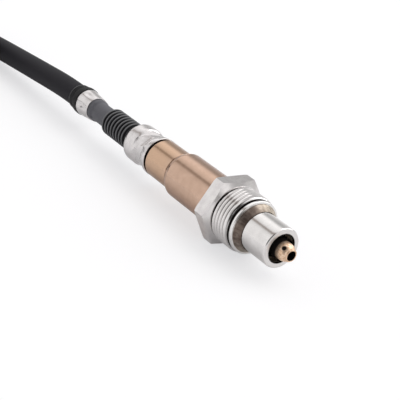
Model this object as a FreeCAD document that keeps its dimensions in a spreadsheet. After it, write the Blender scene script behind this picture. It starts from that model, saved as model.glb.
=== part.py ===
"""Particulate matter sensor for an exhaust pipe, lying on its hexagon with its cable coiled behind it.

Every turned piece is drawn along its own +Z axis, which points at the sensing tip.
Station 0 is the back face of the sealing flange, where the union nut bears.
All pieces of the sensor share one placement, which lays that axis along -Y, half the
hexagon's width above the floor. Lengths are millimetres.
"""
import FreeCAD
import Part
import math
import os

import Sketcher

SIZES = {
    # overall fits
    "seat_clearance": 0.03,
    "running_clearance": 0.05,
    # sealing flange and housing
    "flange_radius": 9.4,
    "flange_rim_length": 1.0,
    "flange_edge_round": 0.3,
    "seat_radius": 8.55,
    "seat_length": 2.85,
    "seat_edge": 0.12,
    "housing_bore_radius": 5.2,
    "housing_mouth_radius": 3.9,
    "housing_mouth_length": 2.8,
    "housing_lip_radius": 4.3,
    "housing_lip_length": 0.8,
    "tube_socket_depth": 1.2,
    # outer protection tube
    "tube_radius": 7.0,
    "tube_wall": 0.6,
    "tube_reach": 11.55,
    "tube_edge_round": 0.65,
    "tube_opening_radius": 5.0,
    "tube_root_lip": 0.6,
    # inner protection tube
    "inner_tube_radius": 3.5,
    "inner_tube_wall": 0.5,
    "inner_collar_length": 1.0,
    "inner_tube_proud": 1.65,
    "inner_shoulder_length": 0.9,
    "nozzle_radius": 2.55,
    "nozzle_hole_radius": 1.75,
    "nozzle_length": 2.4,
    "nozzle_front_wall": 0.6,
    "nozzle_round": 0.3,
    "gas_hole_radius": 0.6,
    "gas_hole_station": 3.2,
    # union nut
    "nut_gap": 0.6,
    "nut_bore_radius": 8.05,
    "nut_end_play": 0.3,
    "thread_radius": 10.0,
    "thread_length": 9.6,
    "thread_chamfer": 0.6,
    "undercut_radius": 9.0,
    "undercut_length": 1.3,
    "hex_across_flats": 22.0,
    "hex_thickness": 4.9,
    "hex_chamfer_radius": 11.35,
    "hex_chamfer_length": 0.7,
    # body sleeve
    "body_radius": 8.4,
    "body_wall": 0.8,
    "body_shoulder_gap": 1.25,
    "body_shoulder_length": 2.0,
    "body_small_radius": 7.2,
    "body_small_length": 13.0,
    "body_neck_radius": 6.5,
    "body_neck_length": 3.2,
    "body_end_round": 0.35,
    "shoulder_round": 0.9,
    # ceramics and sensing element
    "element_width": 4.0,
    "element_thickness": 1.3,
    "element_length": 54.0,
    "element_setback": 5.0,
    "bush_length": 6.0,
    "powder_length": 6.5,
    "support_ring_length": 1.0,
    "support_slot_margin": 0.5,
    "element_clearance": 0.05,
    # contacts
    "holder_radius": 6.3,
    "holder_length": 13.0,
    "element_grip": 7.8,
    "holder_slot_width": 4.6,
    "holder_slot_height": 1.25,
    "clamp_thickness": 0.55,
    "clamp_length": 6.0,
    "clamp_setback": 1.1,
    "clamp_wrap": 290.0,
    "contact_width": 1.2,
    "contact_thickness": 0.5,
    "contact_recess": 1.0,
    "contact_offset": 1.34,
    "barrel_radius": 1.1,
    "barrel_length": 3.0,
    "barrel_floor": 0.6,
    "wire_radius": 0.75,
    # wire seal
    "seal_radius": 5.65,
    # crimped rear sleeve
    "crimp_gap": 0.5,
    "crimp_wall": 0.6,
    "crimp_front_radius": 7.25,
    "crimp_front_length": 2.6,
    "crimp_pinch_radius": 6.55,
    "crimp_pinch_length": 3.4,
    "crimp_slope_length": 1.6,
    "crimp_rear_radius": 7.2,
    "crimp_rear_length": 4.4,
    "crimp_end_length": 1.3,
    "crimp_end_radius": 6.75,
    "crimp_lip_radius": 5.5,
    "crimp_flat_depth": 0.22,
    # rubber boot
    "boot_bore_radius": 3.1,
    "boot_flange_radius": 6.3,
    "boot_flange_length": 3.0,
    "boot_gap_length": 3.5,
    "boot_throat_radius": 4.95,
    "boot_throat_length": 2.6,
    "boot_root_radius": 4.5,
    "boot_rib_radius": 5.35,
    "boot_rib_width": 1.1,
    "boot_rib_pitch": 2.0,
    "boot_rib_count": 8,
    "boot_neck_radius": 3.9,
    "boot_neck_length": 10.45,
    "boot_collar_radius": 4.4,
    "boot_collar_length": 4.0,
    "boot_tail_radius": 3.8,
    "boot_tail_length": 5.6,
    "boot_round": 0.4,
    # ferrule, end ring and cuff
    "ferrule_front_radius": 4.7,
    "ferrule_rear_radius": 5.35,
    "ferrule_length": 7.5,
    "ferrule_overlap": 1.0,
    "ferrule_end_wall": 1.0,
    "ferrule_flat_distance": 4.825,
    "ferrule_flat_margin": 0.5,
    "end_ring_radius": 5.6,
    "end_ring_length": 1.6,
    "cuff_front_radius": 5.35,
    "cuff_rear_radius": 4.95,
    "cuff_length": 3.4,
    "cuff_rib_depth": 0.2,
    "cuff_rib_pitch": 0.8,
    "cuff_groove_width": 0.32,
    # protective hose and its coil
    "hose_radius": 4.6,
    "coil_radius": 50.6,
    "coil_round": 3.0,
    # connector at the far end
    "plug_length": 26.0,
    "plug_width": 19.0,
    "plug_height": 13.0,
    "plug_corner": 2.2,
    "plug_wall": 1.5,
    "plug_socket_depth": 12.0,
    "plug_seal_wall": 1.0,
    "plug_seal_length": 2.5,
    "plug_pin_radius": 0.75,
    "plug_pin_length": 7.0,
    "plug_pin_pitch": 3.0,
    "plug_pin_count": 5,
    "gland_radius": 6.2,
    "gland_length": 9.0,
    "gland_grip": 6.5,
    "lock_width": 7.0,
    "lock_length": 15.0,
    "lock_thickness": 1.3,
    "lock_rise": 1.1,
    "lock_post_length": 3.5,
    "lock_post_start": 6.75,
    "lock_setback": 1.0,
}

HEX_SIDES = 6
GAS_HOLES = 6
CRIMP_JAWS = 8
FERRULE_FLATS = 6
CUFF_RIBS = 4
WIRES = 4
# How far a slot or hole is cut past the ends of its piece
OVERRUN = 1.0
# A round on sheet metal or thin rubber, as a share of the wall
EDGE_ROUND_SHARE = 0.8

doc = FreeCAD.newDocument("particulate_matter_sensor")
sheet = doc.addObject("Spreadsheet::Sheet", "Sizes")
for row, (alias, number) in enumerate(SIZES.items(), start=1):
    sheet.set(f"A{row}", alias)
    sheet.set(f"B{row}", str(number))
    sheet.setAlias(f"B{row}", alias)
doc.recompute()


class Length:
    """A size with its value and the sheet expression that it comes from."""

    def __init__(self, value, text):
        self.value = value
        self.text = text

    def __add__(self, other):
        other = as_length(other)
        return Length(self.value + other.value, f"{self.text} + {other.text}")

    def __sub__(self, other):
        other = as_length(other)
        return Length(self.value - other.value, f"{self.text} - ({other.text})")

    def __mul__(self, factor):
        return Length(self.value * factor, f"({self.text}) * {factor}")

    def __truediv__(self, factor):
        return Length(self.value / factor, f"({self.text}) / {factor}")

    def __neg__(self):
        return Length(-self.value, f"0 - ({self.text})")


def as_length(item):
    return item if isinstance(item, Length) else Length(float(item), str(float(item)))


def size(alias):
    return Length(float(SIZES[alias]), f"Sizes.{alias}")


def add_body(name):
    body = doc.addObject("PartDesign::Body", name)
    body.Label = name
    return body


def plane_of(body, role):
    return next(f for f in body.Origin.OriginFeatures if f.Role == role)


def new_sketch(body, name, role="XZ_Plane"):
    sketch = body.newObject("Sketcher::SketchObject", name)
    sketch.AttachmentSupport = [(plane_of(body, role), "")]
    sketch.MapMode = "FlatFace"
    return sketch


def pin_point(sketch, geometry, end, across, along, name):
    """Holds one sketch point at its distances from the origin, which follow the sheet."""
    for axis, coordinate in (("DistanceX", as_length(across)), ("DistanceY", as_length(along))):
        label = f"{name}_{axis[-1].lower()}"
        number = sketch.addConstraint(
            Sketcher.Constraint(axis, -1, 1, geometry, end, coordinate.value)
        )
        sketch.renameConstraint(number, label)
        sketch.setExpression(f"Constraints.{label}", coordinate.text)


def draw_outline(sketch, points):
    """Closed outline of straight lines through points given as (across, along)."""
    corners = [(as_length(across), as_length(along)) for across, along in points]
    vectors = [FreeCAD.Vector(across.value, along.value, 0) for across, along in corners]
    count = len(corners)
    for index in range(count):
        sketch.addGeometry(Part.LineSegment(vectors[index], vectors[(index + 1) % count]), False)
    for index in range(count):
        sketch.addConstraint(
            Sketcher.Constraint("Coincident", index, 2, (index + 1) % count, 1)
        )
    for index, (across, along) in enumerate(corners):
        pin_point(sketch, index, 1, across, along, f"corner{index}")


def revolve(body, sketch, name, kind="PartDesign::Revolution", angle=None):
    feature = body.newObject(kind, name)
    feature.Profile = sketch
    feature.ReferenceAxis = (sketch, ["V_Axis"])
    feature.Angle = 360.0
    if angle is not None:
        feature.setExpression("Angle", angle.text)
    sketch.Visibility = False
    return feature


def turned(name, points, angle=None):
    """A body turned about its axis from one closed half section."""
    body = add_body(name)
    sketch = new_sketch(body, f"{name}_section")
    draw_outline(sketch, points)
    revolve(body, sketch, f"{name}_turning", angle=angle)
    doc.recompute()
    return body


def circle_edges(shape, places, tolerance=0.02):
    """Names of the round edges centred on the axis with the given (radius, station)."""
    names = []
    for number, edge in enumerate(shape.Edges, start=1):
        curve = edge.Curve
        if not isinstance(curve, Part.Circle):
            continue
        for radius, station in places:
            same_radius = abs(curve.Radius - radius.value) < tolerance
            same_station = abs(curve.Center.z - station.value) < tolerance
            if same_radius and same_station and f"Edge{number}" not in names:
                names.append(f"Edge{number}")
    return names


def dress(body, kind, name, amount, places):
    """Rounds or chamfers the round edges at the given places."""
    base = body.Tip
    names = circle_edges(base.Shape, places)
    if not names:
        raise ValueError(f"{name}: no edge found")
    feature = body.newObject(kind, name)
    feature.Base = (base, names)
    if kind == "PartDesign::Fillet":
        feature.Radius = amount.value
        feature.setExpression("Radius", amount.text)
    else:
        feature.Size = amount.value
        feature.setExpression("Size", amount.text)
    doc.recompute()
    return feature


def rectangle_points(left, right, low, high):
    return [(left, low), (right, low), (right, high), (left, high)]


def polar_copies(body, feature, name, count):
    pattern = body.newObject("PartDesign::PolarPattern", name)
    pattern.Originals = [feature]
    pattern.Axis = (feature.Profile[0], ["N_Axis"])
    pattern.Angle = 360.0
    pattern.Occurrences = count
    body.Tip = pattern
    doc.recompute()
    return pattern


def cut_flats(body, name, distance, low, high, reach, count):
    """Mills equal flats round the axis, each at the given distance from it."""
    before = body.Shape.Volume
    sketch = new_sketch(body, f"{name}_sketch", "XY_Plane")
    draw_outline(sketch, rectangle_points(-reach, reach, distance, reach))
    sketch.AttachmentOffset = FreeCAD.Placement(
        FreeCAD.Vector(0, 0, low.value), FreeCAD.Rotation()
    )
    sketch.setExpression("AttachmentOffset.Base.z", low.text)
    pocket = body.newObject("PartDesign::Pocket", name)
    pocket.Profile = sketch
    pocket.Reversed = True
    pocket.Length = (high - low).value
    pocket.setExpression("Length", (high - low).text)
    sketch.Visibility = False
    doc.recompute()
    pattern = polar_copies(body, pocket, f"{name}_round", count)
    if not body.Shape.Volume < before - 1e-6:
        raise ValueError(f"{name} cuts nothing")
    return pattern


def drill_round(body, name, circle_radius, hole_radius, low, high, count, phase):
    """Equal holes along the axis on one circle round it."""
    before = body.Shape.Volume
    sketch = new_sketch(body, f"{name}_sketch", "XY_Plane")
    across = circle_radius * math.cos(math.radians(phase))
    along = circle_radius * math.sin(math.radians(phase))
    centre = FreeCAD.Vector(across.value, along.value, 0)
    sketch.addGeometry(Part.Circle(centre, FreeCAD.Vector(0, 0, 1), hole_radius.value), False)
    pin_point(sketch, 0, 3, across, along, "centre")
    number = sketch.addConstraint(Sketcher.Constraint("Radius", 0, hole_radius.value))
    sketch.renameConstraint(number, "hole_radius")
    sketch.setExpression("Constraints.hole_radius", hole_radius.text)
    sketch.AttachmentOffset = FreeCAD.Placement(
        FreeCAD.Vector(0, 0, low.value), FreeCAD.Rotation()
    )
    sketch.setExpression("AttachmentOffset.Base.z", low.text)
    pocket = body.newObject("PartDesign::Pocket", name)
    pocket.Profile = sketch
    pocket.Reversed = True
    pocket.Length = (high - low).value
    pocket.setExpression("Length", (high - low).text)
    sketch.Visibility = False
    doc.recompute()
    pattern = polar_copies(body, pocket, f"{name}_round", count)
    if not body.Shape.Volume < before - 1e-6:
        raise ValueError(f"{name} cuts nothing")
    return pattern


# Stations along the axis, worked out from the lengths

seat_clearance = size("seat_clearance")
flange_back = Length(0.0, "0")
rim_front = size("flange_rim_length")
seat_front = rim_front + size("seat_length")
tube_front = seat_front + size("tube_reach")
inner_front = tube_front + size("inner_tube_proud")
nozzle_back = inner_front + size("inner_shoulder_length")
nozzle_front = nozzle_back + size("nozzle_length")
socket_floor = seat_front - size("tube_socket_depth")

nut_front = -size("nut_gap")
hex_front = nut_front - size("thread_length")
hex_back = hex_front - size("hex_thickness")
journal_back = hex_back - size("nut_end_play")

mouth_back = socket_floor - size("housing_mouth_length")
front_bush_back = mouth_back - size("bush_length")
powder_back = front_bush_back - size("powder_length")
rear_bush_back = powder_back - size("bush_length")
support_back = rear_bush_back - size("support_ring_length")
housing_back = support_back - size("housing_lip_length")

element_front = nozzle_front - size("element_setback")
element_back = element_front - size("element_length")
holder_front = element_back + size("element_grip")
holder_back = holder_front - size("holder_length")
clamp_front = holder_front - size("clamp_setback")
clamp_back = clamp_front - size("clamp_length")
seal_front = holder_back - size("barrel_length")

body_large_back = clamp_back - size("body_shoulder_gap")
body_small_front = body_large_back - size("body_shoulder_length")
body_small_back = body_small_front - size("body_small_length")
body_back = body_small_back - size("body_neck_length")

crimp_front = body_small_back - size("crimp_gap")
crimp_pinch_front = crimp_front - size("crimp_front_length") - size("crimp_slope_length")
crimp_pinch_back = crimp_pinch_front - size("crimp_pinch_length")
crimp_bulge_front = crimp_pinch_back - size("crimp_slope_length")
crimp_bulge_back = crimp_bulge_front - size("crimp_rear_length")
crimp_back = crimp_bulge_back - size("crimp_end_length")

boot_flange_back = crimp_bulge_back + seat_clearance
boot_front = boot_flange_back + size("boot_flange_length")
boot_ribs_front = crimp_back - size("boot_gap_length")
boot_ribs_back = boot_ribs_front - size("boot_rib_pitch") * (SIZES["boot_rib_count"] - 1)
boot_neck_front = boot_ribs_back - size("boot_rib_width")
boot_neck_back = boot_neck_front - size("boot_neck_length")
boot_collar_back = boot_neck_back - size("boot_collar_length")
boot_back = boot_collar_back - size("boot_tail_length")

ferrule_front = boot_collar_back + size("ferrule_overlap")
ferrule_back = ferrule_front - size("ferrule_length")
end_ring_back = ferrule_back - size("end_ring_length")
cuff_back = end_ring_back - size("cuff_length")

seal_back = boot_front + seat_clearance

# The sensor's axis lies along -Y, and the origin is on the floor under its middle
axis_height = size("hex_across_flats") / 2
middle = (nozzle_front + cuff_back) / 2


def lay_down(item):
    """Lays a piece drawn along +Z on the floor, with its tip towards -Y."""
    item.Placement = FreeCAD.Placement(
        FreeCAD.Vector(0, middle.value, axis_height.value),
        FreeCAD.Rotation(FreeCAD.Vector(1, 0, 0), 90),
    )
    item.setExpression("Placement.Base.y", middle.text)
    item.setExpression("Placement.Base.z", axis_height.text)
    return item


def make_housing():
    journal = size("nut_bore_radius") - size("running_clearance")
    spigot = size("body_radius") - size("body_wall") - seat_clearance
    socket = size("tube_radius") + seat_clearance
    bore = size("housing_bore_radius")
    mouth = size("housing_mouth_radius")
    lip = size("housing_lip_radius")
    body = turned("sensor_housing", [
        (socket, seat_front),
        (socket, socket_floor),
        (mouth, socket_floor),
        (mouth, mouth_back),
        (bore, mouth_back),
        (bore, support_back),
        (lip, support_back),
        (lip, housing_back),
        (spigot, housing_back),
        (spigot, journal_back),
        (journal, journal_back),
        (journal, flange_back),
        (size("flange_radius"), flange_back),
        (size("flange_radius"), rim_front),
        (size("seat_radius"), rim_front),
        (size("tube_radius") + size("seat_edge"), seat_front),
    ])
    dress(body, "PartDesign::Fillet", "rim_rounds", size("flange_edge_round"),
          [(size("flange_radius"), flange_back), (size("flange_radius"), rim_front)])
    return lay_down(body)


def make_outer_tube():
    outer = size("tube_radius")
    inner = outer - size("tube_wall")
    lip_back = socket_floor + size("inner_collar_length")
    lip_front = lip_back + size("tube_root_lip")
    neck = size("inner_tube_radius") + seat_clearance
    body = turned("outer_protection_tube", [
        (outer, lip_back),
        (outer, tube_front),
        (size("tube_opening_radius"), tube_front),
        (size("tube_opening_radius"), tube_front - size("tube_wall")),
        (inner, tube_front - size("tube_wall")),
        (inner, lip_front),
        (neck, lip_front),
        (neck, lip_back),
    ])
    dress(body, "PartDesign::Fillet", "tube_edge", size("tube_edge_round"), [(outer, tube_front)])
    return lay_down(body)


def make_inner_tube():
    outer = size("inner_tube_radius")
    bore = outer - size("inner_tube_wall")
    collar = size("tube_radius") - size("tube_wall")
    collar_front = socket_floor + size("inner_collar_length")
    nozzle = size("nozzle_radius")
    hole = size("nozzle_hole_radius")
    shoulder_inside = inner_front - size("nozzle_front_wall")
    body = turned("inner_protection_tube", [
        (bore, socket_floor),
        (bore, shoulder_inside),
        (hole, nozzle_back - size("nozzle_front_wall")),
        (hole, nozzle_front),
        (nozzle, nozzle_front),
        (nozzle, nozzle_back),
        (outer, inner_front),
        (outer, collar_front),
        (collar, collar_front),
        (collar, socket_floor),
    ])
    dress(body, "PartDesign::Fillet", "nozzle_round", size("nozzle_round"),
          [(nozzle, nozzle_front), (outer, inner_front)])
    # Side holes that let the gas in behind the nozzle
    before = body.Shape.Volume
    sketch = new_sketch(body, "gas_hole_sketch", "XZ_Plane")
    station = collar_front + size("gas_hole_station")
    sketch.addGeometry(Part.Circle(
        FreeCAD.Vector(0, station.value, 0), FreeCAD.Vector(0, 0, 1), SIZES["gas_hole_radius"]
    ), False)
    sketch.addConstraint(Sketcher.Constraint("PointOnObject", 0, 3, -2))
    number = sketch.addConstraint(
        Sketcher.Constraint("DistanceY", -1, 1, 0, 3, station.value)
    )
    sketch.renameConstraint(number, "station")
    sketch.setExpression("Constraints.station", station.text)
    number = sketch.addConstraint(Sketcher.Constraint("Radius", 0, SIZES["gas_hole_radius"]))
    sketch.renameConstraint(number, "hole_radius")
    sketch.setExpression("Constraints.hole_radius", size("gas_hole_radius").text)
    pocket = body.newObject("PartDesign::Pocket", "gas_hole")
    pocket.Profile = sketch
    pocket.Length = SIZES["inner_tube_radius"] * 2
    pocket.setExpression("Length", (size("inner_tube_radius") * 2).text)
    sketch.Visibility = False
    doc.recompute()
    pattern = body.newObject("PartDesign::PolarPattern", "gas_holes")
    pattern.Originals = [pocket]
    pattern.Axis = (sketch, ["V_Axis"])
    pattern.Angle = 360.0
    pattern.Occurrences = GAS_HOLES
    body.Tip = pattern
    doc.recompute()
    if not body.Shape.Volume < before - 1e-6:
        raise ValueError("the gas holes cut nothing")
    return lay_down(body)


def make_union_nut():
    bore = size("nut_bore_radius")
    corner = size("hex_across_flats") / math.cos(math.pi / HEX_SIDES) / 2
    chamfer = size("hex_chamfer_radius")
    drop = size("hex_chamfer_length")
    undercut_front = hex_front + size("undercut_length")
    body = turned("union_nut", [
        (bore, nut_front),
        (bore, hex_back),
        (chamfer, hex_back),
        (corner, hex_back + drop),
        (corner, hex_front - drop),
        (chamfer, hex_front),
        (size("undercut_radius"), hex_front),
        (size("undercut_radius"), undercut_front),
        (size("thread_radius"), undercut_front),
        (size("thread_radius"), nut_front),
    ])
    dress(body, "PartDesign::Chamfer", "thread_start", size("thread_chamfer"),
          [(size("thread_radius"), nut_front), (size("thread_radius"), undercut_front)])
    cut_flats(body, "hex_flat", size("hex_across_flats") / 2, hex_back, hex_front,
              corner + OVERRUN, HEX_SIDES)
    return lay_down(body)


def make_body_sleeve():
    wall = size("body_wall")
    large = size("body_radius")
    small = size("body_small_radius")
    neck = size("body_neck_radius")
    body = turned("body_sleeve", [
        (large, journal_back),
        (large, body_large_back),
        (small, body_small_front),
        (small, body_small_back),
        (neck, body_small_back),
        (neck, body_back),
        (neck - wall, body_back),
        (neck - wall, body_small_back + wall),
        (small - wall, body_small_back + wall),
        (small - wall, body_small_front + wall),
        (large - wall, body_large_back + wall),
        (large - wall, journal_back),
    ])
    dress(body, "PartDesign::Fillet", "shoulder_rounds", size("shoulder_round"),
          [(large, body_large_back), (small, body_small_front)])
    dress(body, "PartDesign::Fillet", "end_round", size("body_end_round"), [(small, body_small_back)])
    return lay_down(body)


def make_crimp_sleeve():
    wall = size("crimp_wall")
    front = size("crimp_front_radius")
    pinch = size("crimp_pinch_radius")
    rear = size("crimp_rear_radius")
    front_band_back = crimp_front - size("crimp_front_length")
    body = turned("crimp_sleeve", [
        (front, crimp_front),
        (front, front_band_back),
        (pinch, crimp_pinch_front),
        (pinch, crimp_pinch_back),
        (rear, crimp_bulge_front),
        (rear, crimp_bulge_back),
        (size("crimp_end_radius"), crimp_back),
        (size("crimp_lip_radius"), crimp_back),
        (size("crimp_lip_radius"), crimp_back + wall),
        (rear - wall, crimp_bulge_back),
        (rear - wall, crimp_bulge_front),
        (pinch - wall, crimp_pinch_back),
        (pinch - wall, crimp_pinch_front),
        (front - wall, front_band_back),
        (front - wall, crimp_front),
    ])
    dress(body, "PartDesign::Fillet", "rear_round", wall * EDGE_ROUND_SHARE,
          [(rear, crimp_bulge_back), (size("crimp_end_radius"), crimp_back)])
    cut_flats(body, "crimp_flat", pinch - size("crimp_flat_depth"),
              crimp_pinch_back, crimp_pinch_front, rear, CRIMP_JAWS)
    return lay_down(body)


def make_boot():
    bore = size("boot_bore_radius")
    root = size("boot_root_radius")
    neck = size("boot_neck_radius")
    collar = size("boot_collar_radius")
    throat = size("crimp_lip_radius") - seat_clearance
    body = turned("cable_boot", [
        (bore, boot_front),
        (size("boot_flange_radius"), boot_front),
        (size("boot_flange_radius"), boot_flange_back),
        (throat, boot_flange_back),
        (throat, crimp_back - seat_clearance),
        (size("boot_throat_radius"), crimp_back - seat_clearance),
        (size("boot_throat_radius"), crimp_back - size("boot_throat_length")),
        (root, crimp_back - size("boot_throat_length")),
        (root, boot_neck_front),
        (neck, boot_neck_front),
        (neck, boot_neck_back),
        (collar, boot_neck_back - size("boot_round")),
        (collar, boot_collar_back),
        (size("boot_tail_radius"), boot_collar_back),
        (size("boot_tail_radius"), boot_back),
        (bore, boot_back),
    ])
    dress(body, "PartDesign::Fillet", "collar_round", size("boot_round"),
          [(collar, boot_collar_back)])
    # One round-topped rib, then its copies towards the cable
    before = body.Shape.Volume
    sketch = new_sketch(body, "rib_sketch")
    half = size("boot_rib_width") / 2
    crown = size("boot_rib_radius") - half
    foot = root - half
    rib_front = boot_ribs_front
    rib_back = rib_front - size("boot_rib_width")
    middle_station = rib_front - half
    centre = FreeCAD.Vector(crown.value, middle_station.value, 0)
    circle = Part.Circle(centre, FreeCAD.Vector(0, 0, 1), half.value)
    sketch.addGeometry(Part.ArcOfCircle(circle, -math.pi / 2, math.pi / 2), False)
    corners = [
        FreeCAD.Vector(crown.value, rib_front.value, 0),
        FreeCAD.Vector(foot.value, rib_front.value, 0),
        FreeCAD.Vector(foot.value, rib_back.value, 0),
        FreeCAD.Vector(crown.value, rib_back.value, 0),
    ]
    for start, end in zip(corners[:-1], corners[1:]):
        sketch.addGeometry(Part.LineSegment(start, end), False)
    for first, end, second, start in ((0, 2, 1, 1), (1, 2, 2, 1), (2, 2, 3, 1), (3, 2, 0, 1)):
        sketch.addConstraint(Sketcher.Constraint("Coincident", first, end, second, start))
    pin_point(sketch, 1, 1, crown, rib_front, "crown_front")
    pin_point(sketch, 2, 1, foot, rib_front, "foot_front")
    pin_point(sketch, 3, 1, foot, rib_back, "foot_back")
    pin_point(sketch, 0, 1, crown, rib_back, "crown_back")
    number = sketch.addConstraint(
        Sketcher.Constraint("DistanceX", -1, 1, 0, 3, crown.value)
    )
    sketch.renameConstraint(number, "crown_centre")
    sketch.setExpression("Constraints.crown_centre", crown.text)
    rib = revolve(body, sketch, "rib")
    doc.recompute()
    pattern = body.newObject("PartDesign::LinearPattern", "ribs")
    pattern.Originals = [rib]
    pattern.Direction = (sketch, ["V_Axis"])
    pattern.Reversed = True
    span = size("boot_rib_pitch") * (SIZES["boot_rib_count"] - 1)
    pattern.Length = span.value
    pattern.setExpression("Length", span.text)
    pattern.Occurrences = int(SIZES["boot_rib_count"])
    body.Tip = pattern
    doc.recompute()
    if not body.Shape.Volume > before + 1e-6:
        raise ValueError("the ribs add nothing")
    return lay_down(body)


def make_ferrule():
    grip = size("boot_tail_radius") + seat_clearance
    hood = size("boot_collar_radius") + seat_clearance
    step = boot_collar_back - seat_clearance
    body = turned("rear_ferrule", [
        (hood, ferrule_front),
        (size("ferrule_front_radius"), ferrule_front),
        (size("ferrule_rear_radius"), ferrule_back + size("ferrule_end_wall")),
        (size("ferrule_rear_radius"), ferrule_back),
        (grip, ferrule_back),
        (grip, step),
        (hood, step),
    ])
    low = ferrule_back + size("ferrule_end_wall") + size("ferrule_flat_margin")
    high = ferrule_front - size("ferrule_overlap")
    cut_flats(body, "ferrule_flat", size("ferrule_flat_distance"), low, high,
              size("ferrule_rear_radius") + OVERRUN, FERRULE_FLATS)
    return lay_down(body)


def make_end_ring():
    body = turned("hose_end_ring", rectangle_points(
        size("boot_bore_radius"), size("end_ring_radius"), end_ring_back, ferrule_back
    ))
    dress(body, "PartDesign::Fillet", "ring_rounds", size("boot_round"),
          [(size("end_ring_radius"), end_ring_back), (size("end_ring_radius"), ferrule_back)])
    return lay_down(body)


def make_cuff():
    body = turned("hose_cuff", [
        (size("boot_bore_radius"), end_ring_back),
        (size("cuff_front_radius"), end_ring_back),
        (size("cuff_rear_radius"), cuff_back),
        (size("boot_bore_radius"), cuff_back),
    ])
    before = body.Shape.Volume
    # Fine grooves between the cuff's ribs
    groove_front = end_ring_back - size("cuff_rib_pitch")
    groove_width = size("cuff_groove_width")
    floor = size("cuff_rear_radius") - size("cuff_rib_depth")
    outside = size("cuff_front_radius") + size("cuff_rib_depth")
    sketch = new_sketch(body, "cuff_groove_sketch")
    draw_outline(sketch, rectangle_points(floor, outside, groove_front - groove_width, groove_front))
    groove = revolve(body, sketch, "cuff_groove", "PartDesign::Groove")
    doc.recompute()
    pattern = body.newObject("PartDesign::LinearPattern", "cuff_grooves")
    pattern.Originals = [groove]
    pattern.Direction = (sketch, ["V_Axis"])
    pattern.Reversed = True
    span = size("cuff_rib_pitch") * (CUFF_RIBS - 1)
    pattern.Length = span.value
    pattern.setExpression("Length", span.text)
    pattern.Occurrences = CUFF_RIBS
    body.Tip = pattern
    doc.recompute()
    if not body.Shape.Volume < before - 1e-6:
        raise ValueError("the cuff grooves cut nothing")
    return lay_down(body)


def bind(item, **expressions):
    for name, length in expressions.items():
        length = as_length(length)
        setattr(item, name, length.value)
        item.setExpression(name, length.text)


def bind_place(item, x, y, z):
    x, y, z = as_length(x), as_length(y), as_length(z)
    item.Placement = FreeCAD.Placement(
        FreeCAD.Vector(x.value, y.value, z.value), FreeCAD.Rotation()
    )
    item.setExpression("Placement.Base.x", x.text)
    item.setExpression("Placement.Base.y", y.text)
    item.setExpression("Placement.Base.z", z.text)


def slotted_disc(name, radius, back, front, slot_width, slot_height):
    """A ceramic or metal disc with a slot through it for the flat element."""
    disc = doc.addObject("Part::Cylinder", f"{name}_disc")
    bind(disc, Radius=radius, Height=front - back)
    bind_place(disc, 0, 0, back)
    slot = doc.addObject("Part::Box", f"{name}_slot")
    bind(slot, Length=slot_width, Width=slot_height, Height=(front - back) + 2 * OVERRUN)
    bind_place(slot, -(slot_width / 2), -(slot_height / 2), back - OVERRUN)
    cut = doc.addObject("Part::Cut", name)
    cut.Base = disc
    cut.Tool = slot
    cut.Label = name
    return lay_down(cut)


def make_ceramics():
    radius = size("housing_bore_radius") - seat_clearance
    width = size("element_width") + size("element_clearance") * 2
    height = size("element_thickness") + size("element_clearance") * 2
    slotted_disc("front_ceramic_bush", radius, front_bush_back, mouth_back, width, height)
    slotted_disc("sealing_powder", radius, powder_back, front_bush_back, width, height)
    slotted_disc("rear_ceramic_bush", radius, rear_bush_back, powder_back, width, height)
    margin = size("support_slot_margin") * 2
    slotted_disc("support_ring", radius, support_back, rear_bush_back,
                 width + margin, height + margin)


def make_element():
    blank = doc.addObject("Part::Box", "element_blank")
    bind(blank, Length=size("element_width"), Width=size("element_thickness"),
         Height=size("element_length"))
    bind_place(blank, -(size("element_width") / 2), -(size("element_thickness") / 2), element_back)
    element = doc.addObject("Part::Compound", "sensing_element")
    element.Links = [blank]
    element.Label = "sensing_element"
    return lay_down(element)


def make_holder_half(name, turn):
    """Half of the ceramic contact holder, with its share of the slot for element and contacts."""
    body = add_body(name)
    sketch = new_sketch(body, f"{name}_section")
    draw_outline(sketch, rectangle_points(
        0, size("holder_radius"), holder_back, holder_front
    ))
    half = revolve(body, sketch, f"{name}_half")
    half.Angle = 180.0
    doc.recompute()
    before = body.Shape.Volume
    slot = new_sketch(body, f"{name}_slot_sketch", "XY_Plane")
    reach = size("holder_slot_height")
    draw_outline(slot, rectangle_points(
        -(size("holder_slot_width") / 2), size("holder_slot_width") / 2, -reach, reach
    ))
    slot.AttachmentOffset = FreeCAD.Placement(
        FreeCAD.Vector(0, 0, (holder_back - OVERRUN).value), FreeCAD.Rotation()
    )
    slot.setExpression("AttachmentOffset.Base.z", (holder_back - OVERRUN).text)
    pocket = body.newObject("PartDesign::Pocket", f"{name}_slot")
    pocket.Profile = slot
    pocket.Reversed = True
    bind(pocket, Length=size("holder_length") + 2 * OVERRUN)
    slot.Visibility = False
    doc.recompute()
    if not body.Shape.Volume < before - 1e-6:
        raise ValueError(f"{name}: the slot cuts nothing")
    lay_down(body)
    body.Placement = FreeCAD.Placement(
        body.Placement.Base,
        body.Placement.Rotation.multiply(FreeCAD.Rotation(FreeCAD.Vector(0, 0, 1), turn)),
    )
    return body


def make_clamp():
    inside = size("holder_radius") + seat_clearance
    body = turned("spring_clamp", rectangle_points(
        inside, inside + size("clamp_thickness"), clamp_back, clamp_front
    ), angle=size("clamp_wrap"))
    return lay_down(body)


def contact_places():
    """Where the four wires lie: above (1) or below (-1) the element, across it and up from it."""
    offset = size("contact_offset")
    return [(level, offset * side, offset * level) for side in (-1, 1) for level in (-1, 1)]


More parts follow.
